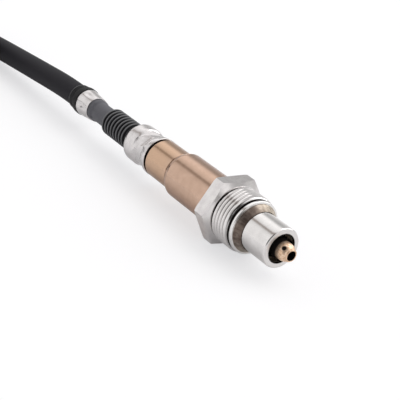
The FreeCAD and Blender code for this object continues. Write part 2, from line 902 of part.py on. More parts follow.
def make_contacts():
    """Four flat contacts that press on the element, each with a barrel crimped on its wire."""
    contacts = []
    barrel_back = holder_back - size("barrel_length")
    for number, (level, across, up) in enumerate(contact_places(), start=1):
        strip = doc.addObject("Part::Box", f"contact_strip_{number}")
        bind(strip, Length=size("contact_width"), Width=size("contact_thickness"),
             Height=size("holder_length") - size("contact_recess"))
        face = size("element_thickness") / 2 + seat_clearance
        low = face if level > 0 else -(face + size("contact_thickness"))
        bind_place(strip, across - size("contact_width") / 2, low, holder_back)
        barrel = doc.addObject("Part::Cylinder", f"contact_barrel_{number}")
        bind(barrel, Radius=size("barrel_radius"), Height=size("barrel_length"))
        bind_place(barrel, across, up, barrel_back)
        joined = doc.addObject("Part::MultiFuse", f"contact_joined_{number}")
        joined.Shapes = [strip, barrel]
        bore = doc.addObject("Part::Cylinder", f"contact_bore_{number}")
        bind(bore, Radius=size("wire_radius") + seat_clearance, Height=size("barrel_length"))
        bind_place(bore, across, up, barrel_back - size("barrel_floor"))
        contact = doc.addObject("Part::Cut", f"contact_{number}")
        contact.Base = joined
        contact.Tool = bore
        contacts.append(contact)
    group = doc.addObject("Part::Compound", "contact_springs")
    group.Links = contacts
    group.Label = "contact_springs"
    return lay_down(group)


def make_wires():
    """Four insulated wires from the contacts to the cable."""
    wires = []
    wire_front = holder_back - size("barrel_floor")
    for number, (_, across, up) in enumerate(contact_places(), start=1):
        wire = doc.addObject("Part::Cylinder", f"wire_{number}")
        bind(wire, Radius=size("wire_radius"), Height=wire_front - cuff_back)
        bind_place(wire, across, up, cuff_back)
        wires.append(wire)
    group = doc.addObject("Part::Compound", "lead_wires")
    group.Links = wires
    group.Label = "lead_wires"
    return lay_down(group)


def make_wire_seal():
    body = turned("wire_seal", rectangle_points(0, size("seal_radius"), seal_back, seal_front))
    drill_round(body, "wire_hole", size("contact_offset") * math.sqrt(2),
                size("wire_radius") + seat_clearance, seal_back - OVERRUN, seal_front + OVERRUN,
                WIRES, 45.0)
    return lay_down(body)


# The hose's routes, chosen by hand: from the cuff down to the floor, and from the coil to the plug
HOSE_RADIUS = SIZES["hose_radius"]
COIL_RADIUS = SIZES["coil_radius"]
CUFF_END_Y = (middle - cuff_back).value
LEAD_ROUTE = [
    (0.0, CUFF_END_Y, axis_height.value),
    (0.0, CUFF_END_Y + 10.75, axis_height.value),
    (0.0, CUFF_END_Y + 29.75, 9.5),
    (-0.3, CUFF_END_Y + 62.75, 7.0),
    (-0.9, CUFF_END_Y + 88.75, 4.9),
    (-1.2, CUFF_END_Y + 107.75, HOSE_RADIUS),
]
COIL_CENTRE = (LEAD_ROUTE[-1][0] - COIL_RADIUS, LEAD_ROUTE[-1][1])
UPPER_TURN_START = -36.0
UPPER_TURN_HEIGHT = HOSE_RADIUS * 3
PLUG_AXIS_HEIGHT = SIZES["plug_height"] / 2
COIL_END_X = COIL_CENTRE[0] - COIL_RADIUS
TAIL_ROUTE = [
    (COIL_END_X, COIL_CENTRE[1], UPPER_TURN_HEIGHT),
    (COIL_END_X, COIL_CENTRE[1] - 26.0, UPPER_TURN_HEIGHT),
    (COIL_END_X - 0.8, COIL_CENTRE[1] - 54.0, PLUG_AXIS_HEIGHT),
    (COIL_END_X - 0.8, COIL_CENTRE[1] - 78.0, PLUG_AXIS_HEIGHT),
]


def rounded_route(points):
    """Straight runs joined by tangent arcs, each as large as its two runs allow."""
    vectors = [FreeCAD.Vector(*point) for point in points]
    edges = []
    radii = []
    start = vectors[0]
    for before, corner, after in zip(vectors[:-2], vectors[1:-1], vectors[2:]):
        inward = corner - before
        outward = after - corner
        turn = inward.getAngle(outward)
        trim = 0.45 * min(inward.Length, outward.Length)
        radius = trim / math.tan(turn / 2)
        radii.append(round(radius, 1))
        inward.normalize()
        outward.normalize()
        first = corner - inward * trim
        last = corner + outward * trim
        toward = outward - inward
        toward.normalize()
        bulge = corner + toward * (radius / math.cos(turn / 2) - radius)
        if (first - start).Length > 1e-6:
            edges.append(Part.LineSegment(start, first).toShape())
        edges.append(Part.Arc(first, bulge, last).toShape())
        start = last
    edges.append(Part.LineSegment(start, vectors[-1]).toShape())
    return Part.Wire(edges), radii


def make_hose_tube(name, points):
    """A plain tube along a route, with its volume compared with section times length."""
    route, radii = rounded_route(points)
    start = FreeCAD.Vector(*points[0])
    section = Part.Circle(start, FreeCAD.Vector(*points[1]) - start, HOSE_RADIUS).toShape()
    tube = route.makePipeShell([Part.Wire([section])], True, False)
    expected = math.pi * HOSE_RADIUS ** 2 * route.Length
    print(f"{name}: length {route.Length:.1f} mm, radii {radii},",
          f"volume {tube.Volume:.0f} of {expected:.0f} mm3")
    item = doc.addObject("Part::Feature", name)
    item.Label = name
    item.Shape = tube
    item.Placement = FreeCAD.Placement()
    return item


def make_coil():
    """The outer shape of a turn and a half of hose, the half lying on the whole."""
    body = add_body("hose_coil")
    inner = size("coil_radius") - size("hose_radius")
    outer = size("coil_radius") + size("hose_radius")
    layer = size("hose_radius") * 2
    top = size("hose_radius") * 4
    whole = new_sketch(body, "whole_turn_section")
    draw_outline(whole, rectangle_points(inner, outer, 0, layer))
    revolve(body, whole, "whole_turn")
    doc.recompute()
    dress(body, "PartDesign::Fillet", "whole_turn_rounds", size("coil_round"),
          [(inner, as_length(0)), (outer, as_length(0)), (inner, layer), (outer, layer)])
    half = new_sketch(body, "half_turn_section")
    draw_outline(half, rectangle_points(inner, outer, layer, top))
    revolve(body, half, "half_turn", angle=as_length(180.0 - UPPER_TURN_START))
    doc.recompute()
    dress(body, "PartDesign::Fillet", "half_turn_rounds", size("coil_round"),
          [(inner, top), (outer, top)])
    body.Placement = FreeCAD.Placement(
        FreeCAD.Vector(COIL_CENTRE[0], COIL_CENTRE[1], 0),
        FreeCAD.Rotation(FreeCAD.Vector(0, 0, 1), UPPER_TURN_START),
    )
    return body


# The plug is drawn along its own +Z axis from the end of the hose, and laid along -Y
PLUG_START = FreeCAD.Vector(*TAIL_ROUTE[-1]) + FreeCAD.Vector(0, SIZES["gland_grip"], 0)
gland_step = size("gland_grip")
plug_back = size("gland_length")
plug_front = plug_back + size("plug_length")
plug_floor = plug_front - size("plug_socket_depth")


def lay_plug(item):
    item.Placement = FreeCAD.Placement(
        PLUG_START, FreeCAD.Rotation(FreeCAD.Vector(1, 0, 0), 90)
    )
    return item


def sketch_at(body, name, station):
    sketch = new_sketch(body, name, "XY_Plane")
    sketch.AttachmentOffset = FreeCAD.Placement(
        FreeCAD.Vector(0, 0, station.value), FreeCAD.Rotation()
    )
    sketch.setExpression("AttachmentOffset.Base.z", station.text)
    return sketch


def upright_edges(shape):
    """Names of the straight edges that run along the axis."""
    names = []
    for number, edge in enumerate(shape.Edges, start=1):
        if isinstance(edge.Curve, Part.Line) and abs(abs(edge.Curve.Direction.z) - 1) < 1e-6:
            names.append(f"Edge{number}")
    return names


def rounded_block(name, half_width, half_height, back, front, corner):
    """A block round the plug's axis with rounded edges along it."""
    body = add_body(name)
    sketch = sketch_at(body, f"{name}_outline", back)
    draw_outline(sketch, rectangle_points(-half_width, half_width, -half_height, half_height))
    pad = body.newObject("PartDesign::Pad", f"{name}_pad")
    pad.Profile = sketch
    bind(pad, Length=front - back)
    sketch.Visibility = False
    doc.recompute()
    fillet = body.newObject("PartDesign::Fillet", f"{name}_corners")
    fillet.Base = (pad, upright_edges(pad.Shape))
    bind(fillet, Radius=corner)
    doc.recompute()
    return body


def hollow_block(body, name, half_width, half_height, floor, front):
    """A rectangular pocket along the axis."""
    before = body.Shape.Volume
    sketch = sketch_at(body, f"{name}_sketch", floor)
    draw_outline(sketch, rectangle_points(-half_width, half_width, -half_height, half_height))
    pocket = body.newObject("PartDesign::Pocket", name)
    pocket.Profile = sketch
    pocket.Reversed = True
    bind(pocket, Length=front - floor)
    sketch.Visibility = False
    doc.recompute()
    if not body.Shape.Volume < before - 1e-6:
        raise ValueError(f"{name} cuts nothing")
    return pocket


def make_plug():
    half_width = size("plug_width") / 2
    half_height = size("plug_height") / 2
    wall = size("plug_wall")
    housing = rounded_block("connector_housing", half_width, half_height,
                            plug_back, plug_front, size("plug_corner"))
    hollow_block(housing, "connector_socket", half_width - wall, half_height - wall,
                 plug_floor, plug_front)
    lay_plug(housing)
    inside_width = half_width - wall - seat_clearance
    inside_height = half_height - wall - seat_clearance
    seal = rounded_block("connector_seal", inside_width, inside_height,
                         plug_floor, plug_floor + size("plug_seal_length"), size("plug_seal_wall"))
    hollow_block(seal, "connector_seal_opening", inside_width - size("plug_seal_wall"),
                 inside_height - size("plug_seal_wall"),
                 plug_floor, plug_floor + size("plug_seal_length"))
    lay_plug(seal)
    grip = size("hose_radius") + seat_clearance
    gland = turned("connector_gland", [
        (0, gland_step),
        (grip, gland_step),
        (grip, 0),
        (size("gland_radius"), 0),
        (size("gland_radius"), plug_back),
        (0, plug_back),
    ])
    dress(gland, "PartDesign::Fillet", "gland_round", size("plug_seal_wall") * EDGE_ROUND_SHARE,
          [(size("gland_radius"), as_length(0))])
    lay_plug(gland)


def make_lock():
    """The latch: a lever on a post that stands on the plug."""
    lever = doc.addObject("Part::Box", "lock_lever")
    bind(lever, Length=size("lock_width"), Width=size("lock_thickness"), Height=size("lock_length"))
    top = size("plug_height") / 2
    start = plug_front - size("lock_length") - size("lock_setback")
    bind_place(lever, -(size("lock_width") / 2), top + size("lock_rise"), start)
    post = doc.addObject("Part::Box", "lock_post")
    bind(post, Length=size("lock_width"), Width=size("lock_rise"), Height=size("lock_post_length"))
    bind_place(post, -(size("lock_width") / 2), top, start + size("lock_post_start"))
    lock = doc.addObject("Part::MultiFuse", "connector_lock")
    lock.Shapes = [lever, post]
    lock.Label = "connector_lock"
    return lay_plug(lock)


def make_terminals():
    """A row of round pins standing on the socket's floor."""
    pins = []
    count = int(SIZES["plug_pin_count"])
    for number in range(count):
        pin = doc.addObject("Part::Cylinder", f"terminal_{number + 1}")
        bind(pin, Radius=size("plug_pin_radius"), Height=size("plug_pin_length"))
        bind_place(pin, size("plug_pin_pitch") * (number - (count - 1) / 2), 0, plug_floor)
        pins.append(pin)
    group = doc.addObject("Part::Compound", "connector_terminals")
    group.Links = pins
    group.Label = "connector_terminals"
    return lay_plug(group)


make_housing()
make_outer_tube()
make_inner_tube()
make_union_nut()
make_body_sleeve()
make_crimp_sleeve()
make_boot()
make_ferrule()
make_end_ring()
make_cuff()
make_ceramics()
make_element()
make_holder_half("contact_holder_upper", 0)
make_holder_half("contact_holder_lower", 180)
make_clamp()
make_contacts()
make_wires()
make_wire_seal()
make_hose_tube("hose_lead", LEAD_ROUTE)
make_coil()
make_hose_tube("hose_tail", TAIL_ROUTE)
make_plug()
make_lock()
make_terminals()
doc.recompute()

NODES = [
    "sensor_housing", "outer_protection_tube", "inner_protection_tube", "union_nut",
    "body_sleeve", "crimp_sleeve", "cable_boot", "rear_ferrule", "hose_end_ring", "hose_cuff",
    "front_ceramic_bush", "sealing_powder", "rear_ceramic_bush", "support_ring",
    "sensing_element", "contact_holder_upper", "contact_holder_lower", "spring_clamp",
    "contact_springs", "lead_wires", "wire_seal", "hose_lead", "hose_coil", "hose_tail",
    "connector_gland", "connector_housing", "connector_seal", "connector_lock",
    "connector_terminals",
]
for item in doc.Objects:
    if {"Invalid", "Error"} & set(item.State):
        raise RuntimeError(f"{item.Label} failed: {item.State}")
os.makedirs("parts", exist_ok=True)
for label in NODES:
    node = doc.getObjectsByLabel(label)[0]
    shape = node.Shape
    if shape.isNull() or not shape.isValid():
        raise RuntimeError(f"{label} has no valid shape")
    shape.exportStep(f"parts/{label}.step")
    box = shape.BoundBox
    print(f"{label:24s} solids {len(shape.Solids)} volume {shape.Volume:9.1f}",
          f"y {box.YMin:7.2f} {box.YMax:7.2f} z {box.ZMin:6.2f} {box.ZMax:6.2f}")
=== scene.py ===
import math

import bpy
from mathutils import Matrix, Vector


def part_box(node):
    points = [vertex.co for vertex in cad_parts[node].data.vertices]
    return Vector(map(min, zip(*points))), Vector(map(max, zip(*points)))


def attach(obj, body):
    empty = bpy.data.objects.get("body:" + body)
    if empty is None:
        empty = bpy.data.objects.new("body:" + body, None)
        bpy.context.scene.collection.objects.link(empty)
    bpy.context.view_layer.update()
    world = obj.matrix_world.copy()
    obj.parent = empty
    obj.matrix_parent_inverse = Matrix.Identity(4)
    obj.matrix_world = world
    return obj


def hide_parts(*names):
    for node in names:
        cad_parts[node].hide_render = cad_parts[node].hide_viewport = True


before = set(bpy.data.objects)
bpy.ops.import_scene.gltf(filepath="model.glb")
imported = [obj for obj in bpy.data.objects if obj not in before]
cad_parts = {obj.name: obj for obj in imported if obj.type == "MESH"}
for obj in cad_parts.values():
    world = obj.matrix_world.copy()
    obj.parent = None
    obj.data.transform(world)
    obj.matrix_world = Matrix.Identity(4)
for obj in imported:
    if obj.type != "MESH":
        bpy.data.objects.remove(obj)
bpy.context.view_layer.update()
MM = 0.001


# Measures that the shapes and the materials share, in millimetres. A station is the distance
# along the sensor's axis, towards the tip, from the back face of the sealing flange, as in the
# part's own source.

NUT_FRONT = -0.6
UNDERCUT_FRONT = -8.75
UNDERCUT_BACK = -9.4
DENT_ANGLE = math.radians(134.0)
DENT_STATION = 18.5
DENT_RADIUS = 2.95
FIRST_RIB = -73.2
NECK_FRONT = -88.3
CUFF_LIP = -114.15


# Where the sensor lies

nut_low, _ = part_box("union_nut")
FLANGE_BACK_Y = nut_low.y + NUT_FRONT * MM
AXIS_HEIGHT = 11.0 * MM


def axis_point(station, x=0.0, z=0.0):
    """A point in metres at a station in millimetres, off the axis by x and z in millimetres."""
    return Vector((x * MM, FLANGE_BACK_Y - station * MM, AXIS_HEIGHT + z * MM))


# Camera

CAMERA_LENS = 99.0
CAMERA_FROM_AXIS_POINT = Vector((-217.54, -239.03, 144.87)) * MM
VIEW_RIGHT = Vector((0.80842, -0.55898, 0.18513))
VIEW_UP = Vector((0.09152, 0.42969, 0.89853))
CAMERA_STATION = -2.25


def make_camera():
    data = bpy.data.cameras.new("camera")
    data.lens = CAMERA_LENS
    data.sensor_width = 36.0
    data.clip_start = 0.01
    data.clip_end = 50.0
    camera = bpy.data.objects.new("camera", data)
    bpy.context.scene.collection.objects.link(camera)
    right = VIEW_RIGHT.normalized()
    back = right.cross(VIEW_UP).normalized()
    up = back.cross(right)
    rotation = Matrix((right, up, back)).transposed()
    camera.matrix_world = Matrix.Translation(
        axis_point(CAMERA_STATION) + CAMERA_FROM_AXIS_POINT
    ) @ rotation.to_4x4()
    bpy.context.scene.camera = camera


make_camera()


# Materials. Distances from the axis and stations are in millimetres.

# Matt black painted on as shade in hollows, gaps and recesses
PAINTED_SHADE = (0.012, 0.010, 0.009)
NECK_DARK = (0.10, 0.10, 0.115)
NECK_LIGHT = (0.14, 0.14, 0.158)
# The side of the housing's cone with the most painted shade, and the side of the thread whose
# roots have the most painted shade
SHADED_CONE_SIDE = Vector((-0.94, 0.0, 0.34))
SHADED_THREAD_SIDE = Vector((-0.82, 0.0, 0.57))
FINE_RIB_PITCH = 0.4


def new_material(name):
    material = bpy.data.materials.new(name)
    material.use_nodes = True
    shader = material.node_tree.nodes["Principled BSDF"]
    return material, material.node_tree, shader


def coordinates(tree, scale=(1.0, 1.0, 1.0)):
    """Object coordinates stretched along the axes, in units of millimetres."""
    position = tree.nodes.new("ShaderNodeTexCoord")
    mapping = tree.nodes.new("ShaderNodeMapping")
    mapping.inputs["Scale"].default_value = [1000.0 * part for part in scale]
    tree.links.new(position.outputs["Object"], mapping.inputs["Vector"])
    return mapping.outputs["Vector"]


def noise(tree, vector, scale, detail, roughness=0.55):
    node = tree.nodes.new("ShaderNodeTexNoise")
    node.inputs["Scale"].default_value = scale
    node.inputs["Detail"].default_value = detail
    node.inputs["Roughness"].default_value = roughness
    tree.links.new(vector, node.inputs["Vector"])
    return node.outputs["Fac"]


def fine_grain(tree):
    """The grain of moulded rubber and plastic."""
    return noise(tree, coordinates(tree), 3.0, 5.0, 0.6)


def turning_marks(tree):
    """Fine rings round the axis, as a lathe leaves them."""
    return noise(tree, coordinates(tree, (0.02, 1.0, 0.02)), 7.0, 6.0, 0.7)


def ramp(tree, factor, stops):
    node = tree.nodes.new("ShaderNodeValToRGB")
    elements = node.color_ramp.elements
    while len(elements) < len(stops):
        elements.new(0.5)
    for element, (position, colour) in zip(elements, stops):
        element.position = position
        element.color = (*colour, 1.0)
    tree.links.new(factor, node.inputs["Fac"])
    return node.outputs["Color"]


def map_value(tree, value, low, high, to_low, to_high):
    node = tree.nodes.new("ShaderNodeMapRange")
    node.inputs["From Min"].default_value = low
    node.inputs["From Max"].default_value = high
    node.inputs["To Min"].default_value = to_low
    node.inputs["To Max"].default_value = to_high
    tree.links.new(value, node.inputs["Value"])
    return node.outputs["Result"]


def calculate(tree, operation, first, second=0.0):
    node = tree.nodes.new("ShaderNodeMath")
    node.operation = operation
    for index, value in enumerate((first, second)):
        if isinstance(value, float):
            node.inputs[index].default_value = value
        else:
            tree.links.new(value, node.inputs[index])
    return node.outputs["Value"]


def measured(tree, operation, vector, other=None):
    """The one number that a vector gives, such as its length or its product with another."""
    node = tree.nodes.new("ShaderNodeVectorMath")
    node.operation = operation
    tree.links.new(vector, node.inputs[0])
    if other is not None:
        node.inputs[1].default_value = other
    return node.outputs["Value"]


def blended(tree, factor, first, second):
    """One colour mixed into another; each is a colour or a socket."""
    node = tree.nodes.new("ShaderNodeMix")
    node.data_type = "RGBA"
    sockets = [s for s in node.inputs if s.type == "RGBA"]
    for socket, value in zip(sockets, (first, second)):
        if isinstance(value, tuple):
            socket.default_value = (*value, 1.0)
        else:
            tree.links.new(value, socket)
    tree.links.new(factor, node.inputs["Factor"])
    return next(s for s in node.outputs if s.type == "RGBA")


def axis_places(tree):
    """Sockets for the station and the distance from the axis, in millimetres, and for the
    direction square to the axis."""
    position = tree.nodes.new("ShaderNodeTexCoord")
    split = tree.nodes.new("ShaderNodeSeparateXYZ")
    tree.links.new(position.outputs["Object"], split.inputs["Vector"])
    along = calculate(tree, "SUBTRACT", FLANGE_BACK_Y, split.outputs["Y"])
    station = calculate(tree, "DIVIDE", along, MM)
    height = calculate(tree, "SUBTRACT", split.outputs["Z"], AXIS_HEIGHT)
    joined = tree.nodes.new("ShaderNodeCombineXYZ")
    tree.links.new(split.outputs["X"], joined.inputs["X"])
    tree.links.new(height, joined.inputs["Z"])
    radius = calculate(tree, "DIVIDE", measured(tree, "LENGTH", joined.outputs["Vector"]), MM)
    outward = tree.nodes.new("ShaderNodeVectorMath")
    outward.operation = "NORMALIZE"
    tree.links.new(joined.outputs["Vector"], outward.inputs[0])
    return station, radius, outward.outputs["Vector"]


def add_bump(tree, shader, height, strength, distance):
    node = tree.nodes.new("ShaderNodeBump")
    node.inputs["Strength"].default_value = strength
    node.inputs["Distance"].default_value = distance
    tree.links.new(height, node.inputs["Height"])
    tree.links.new(node.outputs["Normal"], shader.inputs["Normal"])


def coat_with_painted_shade(tree, shader, where, colour, roughness):
    """Bare metal of this colour and roughness, and matt black painted shade where the factor is 1.
    """
    tree.links.new(blended(tree, where, colour, PAINTED_SHADE), shader.inputs["Base Color"])
    bare = calculate(tree, "SUBTRACT", 1.0, where)
    tree.links.new(bare, shader.inputs["Metallic"])
    tree.links.new(calculate(tree, "MULTIPLY", bare, 0.5), shader.inputs["Specular IOR Level"])
    tree.links.new(calculate(tree, "MAXIMUM", roughness, where), shader.inputs["Roughness"])


def turned_metal(name, dark, light, roughness, ring_strength, painted_shade_inside=None, edge_tint=None,
                 second=None, satin_from=None):
    """Metal with fine turning marks round the axis and faint blotches of colour.

    Within the distance from the axis given for the inside, it is painted black as shade; second is
    a colour, the station where it sets in and the station where it is full; satin_from is the
    station in front of which it is duller."""
    material, tree, shader = new_material(name)
    if edge_tint:
        shader.inputs["Specular Tint"].default_value = (*edge_tint, 1.0)
    rings = turning_marks(tree)
    blotches = noise(tree, coordinates(tree), 0.35, 3.0)
    colour = ramp(tree, blotches, [(0.35, dark), (0.65, light)])
    rough = map_value(tree, rings, 0.3, 0.7, *roughness)
    station, radius, _ = axis_places(tree)
    if second:
        other, start, end = second
        colour = blended(tree, map_value(tree, station, end, start, 1.0, 0.0), colour, other)
    if satin_from:
        satin = map_value(tree, station, satin_from, satin_from + 0.2, 0.0, 0.42)
        rough = calculate(tree, "MAXIMUM", rough, satin)
    if painted_shade_inside:
        # Painted black shade within that distance from the axis.
        inside = map_value(tree, radius, painted_shade_inside - 0.12, painted_shade_inside + 0.12, 1.0, 0.0)
        coat_with_painted_shade(tree, shader, inside, colour, rough)
    else:
        shader.inputs["Metallic"].default_value = 1.0
        tree.links.new(colour, shader.inputs["Base Color"])
        tree.links.new(rough, shader.inputs["Roughness"])
    add_bump(tree, shader, rings, ring_strength, 0.00002)
    return material


def dome_metal(name):
    """Steel tinted straw and pink by heat, mottled, with painted black shade in the nick in its
    dome, in the nozzle's hole and on the part inside the outer tube.
    """
    material, tree, shader = new_material(name)
    mottle = noise(tree, coordinates(tree), 1.3, 5.0, 0.65)
    colour = ramp(tree, mottle, [(0.34, (0.50, 0.31, 0.19)), (0.5, (0.84, 0.60, 0.42)),
                                 (0.66, (0.95, 0.78, 0.64))])
    station, radius, _ = axis_places(tree)
    # Painted black shade in the nozzle's hole, in the nick and on the part inside the outer tube.
    hole = map_value(tree, radius, 1.66, 1.74, 1.0, 0.0)
    position = tree.nodes.new("ShaderNodeTexCoord")
    dent = axis_point(
        DENT_STATION, DENT_RADIUS * math.cos(DENT_ANGLE), DENT_RADIUS * math.sin(DENT_ANGLE)
    )
    distance = measured(tree, "DISTANCE", position.outputs["Object"], dent)
    nick = map_value(tree, distance, 0.65 * MM, 0.95 * MM, 1.0, 0.0)
    inner = map_value(tree, station, 15.9, 17.6, 1.0, 0.0)
    dark = calculate(tree, "MAXIMUM", calculate(tree, "MAXIMUM", hole, nick), inner)
    rough = map_value(tree, mottle, 0.3, 0.7, 0.46, 0.32)
    coat_with_painted_shade(tree, shader, dark, colour, rough)
    add_bump(tree, shader, mottle, 0.3, 0.00006)
    return material


def thread_metal(name):
    """Bright steel with painted shade in the thread's roots, heaviest on one side, and in the
    undercut, and painted black shade at its front end, where the gap to the flange is."""
    material, tree, shader = new_material(name)
    station, radius, outward = axis_places(tree)
    brushed = turning_marks(tree)
    clouds = noise(tree, coordinates(tree), 0.35, 3.0)
    colour = ramp(tree, clouds, [(0.35, (0.72, 0.69, 0.69)), (0.65, (0.80, 0.78, 0.77))])
    threaded = map_value(tree, station, UNDERCUT_BACK - 0.1, UNDERCUT_BACK, 0.0, 1.0)
    colour = blended(tree, threaded, colour, (0.84, 0.82, 0.815))
    # Painted shade, near black, in the thread's roots, heaviest on the one side, and in the
    # undercut.
    facing_shaded_side = measured(tree, "DOT_PRODUCT", outward, SHADED_THREAD_SIDE)
    root_shade_by_side = map_value(tree, facing_shaded_side, 0.88, 0.985, 0.45, 1.0)
    roots = calculate(tree, "MULTIPLY", root_shade_by_side, map_value(tree, radius, 9.25, 9.7, 1.0, 0.0))
    undercut = map_value(tree, station, UNDERCUT_FRONT - 0.05, UNDERCUT_FRONT + 0.25, 0.9, 0.0)
    low = map_value(tree, radius, 9.3, 9.45, 1.0, 0.0)
    shade_mask = calculate(tree, "MAXIMUM", roots, calculate(tree, "MULTIPLY", undercut, low))
    shade_mask = calculate(tree, "MULTIPLY", threaded, shade_mask)
    colour = blended(tree, shade_mask, colour, (0.04, 0.036, 0.034))
    # Painted black shade at the front end, in the gap to the flange.
    gap = map_value(tree, station, NUT_FRONT - 0.38, NUT_FRONT - 0.18, 0.0, 1.0)
    rough = map_value(tree, brushed, 0.3, 0.7, 0.12, 0.22)
    coat_with_painted_shade(tree, shader, gap, colour, rough)
    add_bump(tree, shader, brushed, 0.06, 0.00002)
    return material


def heated_housing(name):
    """Steel whose cone is browned and streaked by heat, with painted shade on one side and next to
    the tube, a paler painted lit side, a bright rim behind it, and painted black shade on its back
    face.
    """
    material, tree, shader = new_material(name)
    station, radius, outward = axis_places(tree)
    streaks = noise(tree, outward, 9.0, 6.0, 0.7)
    clouds = noise(tree, coordinates(tree), 0.45, 4.0, 0.6)
    brown = ramp(tree, streaks, [(0.38, (0.055, 0.038, 0.032)), (0.62, (0.23, 0.18, 0.15))])
    grey = ramp(tree, clouds, [(0.36, (0.14, 0.11, 0.095)), (0.64, (0.32, 0.27, 0.235))])
    cone = blended(tree, map_value(tree, clouds, 0.4, 0.6, 0.25, 0.75), brown, grey)
    # Painted shade and light: one side of the cone darker and the other paler, as the light falls,
    # mixed with the heat streaks.
    shading_across_cone = calculate(tree, "ADD", measured(tree, "DOT_PRODUCT", outward, SHADED_CONE_SIDE),
                       map_value(tree, streaks, 0.3, 0.7, -0.25, 0.25))
    # The paler colour painted on the cone's lit side.
    clean = ramp(tree, clouds, [(0.36, (0.42, 0.36, 0.29)), (0.64, (0.70, 0.61, 0.50))])
    cone = blended(tree, map_value(tree, shading_across_cone, 0.0, 0.7, 0.8, 0.0), cone, clean)
    # Painted shade next to the tube, on the darker side.
    shade_by_tube = calculate(tree, "MULTIPLY", map_value(tree, station, 2.6, 3.9, 0.0, 0.6),
                        map_value(tree, shading_across_cone, -0.2, 0.4, 0.0, 1.0))
    cone = blended(tree, shade_by_tube, cone, (0.12, 0.085, 0.07))
    rim = map_value(tree, radius, 8.55, 8.8, 0.0, 1.0)
    colour = blended(tree, rim, cone, (0.86, 0.85, 0.84))
    # Painted black shade on the back face and the neck behind it, inside the nut.
    behind = map_value(tree, station, 0.22, 0.40, 1.0, 0.0)
    rough = map_value(tree, streaks, 0.3, 0.7, 0.30, 0.46)
    shine = calculate(tree, "MULTIPLY", rough, map_value(tree, radius, 8.6, 8.9, 1.0, 0.35))
    coat_with_painted_shade(tree, shader, behind, colour, shine)
    add_bump(tree, shader, streaks, 0.25, 0.00003)
    return material


def worn_metal(name, dark, light, roughness):
    """Soft pressed sheet with clouds of tarnish and fine scratches."""
    material, tree, shader = new_material(name)
    shader.inputs["Metallic"].default_value = 1.0
    clouds = noise(tree, coordinates(tree), 0.32, 4.0, 0.5)
    scratches = noise(tree, coordinates(tree, (0.35, 1.6, 0.35)), 2.6, 6.0, 0.7)
    colour = ramp(tree, clouds, [(0.36, dark), (0.60, light)])
    fine = map_value(tree, scratches, 0.40, 0.60, 0.18, 0.0)
    tree.links.new(blended(tree, fine, colour, dark), shader.inputs["Base Color"])
    tree.links.new(map_value(tree, clouds, 0.35, 0.65, roughness[1], roughness[0]),
                   shader.inputs["Roughness"])
    add_bump(tree, shader, scratches, 0.08, 0.00004)
    return material


def ribbed_rubber(name, groove, crest, low, high, roughness):
    """Rubber whose ribs are pale at the crest and black in the grooves; low and high are distances
    from the axis.
    """
    material, tree, shader = new_material(name)
    station, radius, _ = axis_places(tree)
    grains = fine_grain(tree)
    height = map_value(tree, radius, low, high, 0.0, 1.0)
    ribs = map_value(tree, station, FIRST_RIB + 0.3, FIRST_RIB + 1.1, 1.0, 0.0)
    behind = map_value(tree, station, NECK_FRONT - 0.4, NECK_FRONT, 0.0, 1.0)
    on_ribs = calculate(tree, "MULTIPLY", ribs, behind)
    ribbed = ramp(tree, height, [(0.0, groove), (0.55, groove), (1.0, crest)])
    neck = ramp(tree, grains, [(0.3, NECK_DARK), (0.7, NECK_LIGHT)])
    front = blended(tree, map_value(tree, station, FIRST_RIB, FIRST_RIB + 0.6, 0.0, 1.0),
                    neck, groove)
    tree.links.new(blended(tree, on_ribs, front, ribbed), shader.inputs["Base Color"])
    tree.links.new(map_value(tree, grains, 0.3, 0.7, roughness - 0.06, roughness + 0.06),
                   shader.inputs["Roughness"])
    shader.inputs["Specular IOR Level"].default_value = 0.35
    add_bump(tree, shader, grains, 0.2, 0.00005)
    return material


def moulded(name, colour, roughness, shine=0.4):
    """Rubber or plastic with a fine grain."""
    material, tree, shader = new_material(name)
    shader.inputs["Specular IOR Level"].default_value = shine
    grains = fine_grain(tree)
    darker = tuple(part * 0.8 for part in colour)
    lighter = tuple(min(1.0, part * 1.25) for part in colour)
    tree.links.new(
        ramp(tree, grains, [(0.3, darker), (0.7, lighter)]), shader.inputs["Base Color"]
    )
    tree.links.new(
        map_value(tree, grains, 0.3, 0.7, roughness - 0.06, roughness + 0.06),
        shader.inputs["Roughness"],
    )
    add_bump(tree, shader, grains, 0.2, 0.00005)
    return material


def cuff_rubber(name):
    """Black rubber with fine ribs and a grey lip at its rear end."""
    material, tree, shader = new_material(name)
    station, _, _ = axis_places(tree)
    grains = fine_grain(tree)
    black = ramp(tree, grains, [(0.3, (0.011, 0.011, 0.012)), (0.7, (0.018, 0.018, 0.02))])
    lip = map_value(tree, station, CUFF_LIP + 0.12, CUFF_LIP, 0.0, 0.85)
    tree.links.new(blended(tree, lip, black, (0.16, 0.16, 0.165)), shader.inputs["Base Color"])
    tree.links.new(map_value(tree, grains, 0.3, 0.7, 0.48, 0.6), shader.inputs["Roughness"])
    shader.inputs["Specular IOR Level"].default_value = 0.25
    turns = calculate(tree, "MULTIPLY", station, 2 * math.pi / FINE_RIB_PITCH)
    ribs = calculate(tree, "SINE", turns)
    add_bump(tree, shader, calculate(tree, "ADD", ribs, grains), 0.5, 0.00008)
    return material


STEEL = turned_metal("bright_steel", (0.77, 0.75, 0.74), (0.82, 0.80, 0.79), (0.10, 0.18), 0.12)
# The tube's bore and the inside of its lip are painted black as shade.
TUBE = turned_metal("tube_steel", (0.77, 0.75, 0.74), (0.82, 0.80, 0.79), (0.10, 0.18), 0.12,
                    painted_shade_inside=5.22, satin_from=15.15)
TIP = dome_metal("tinted_tip")
HOUSING = heated_housing("heated_housing")
NUT = thread_metal("nut_steel")
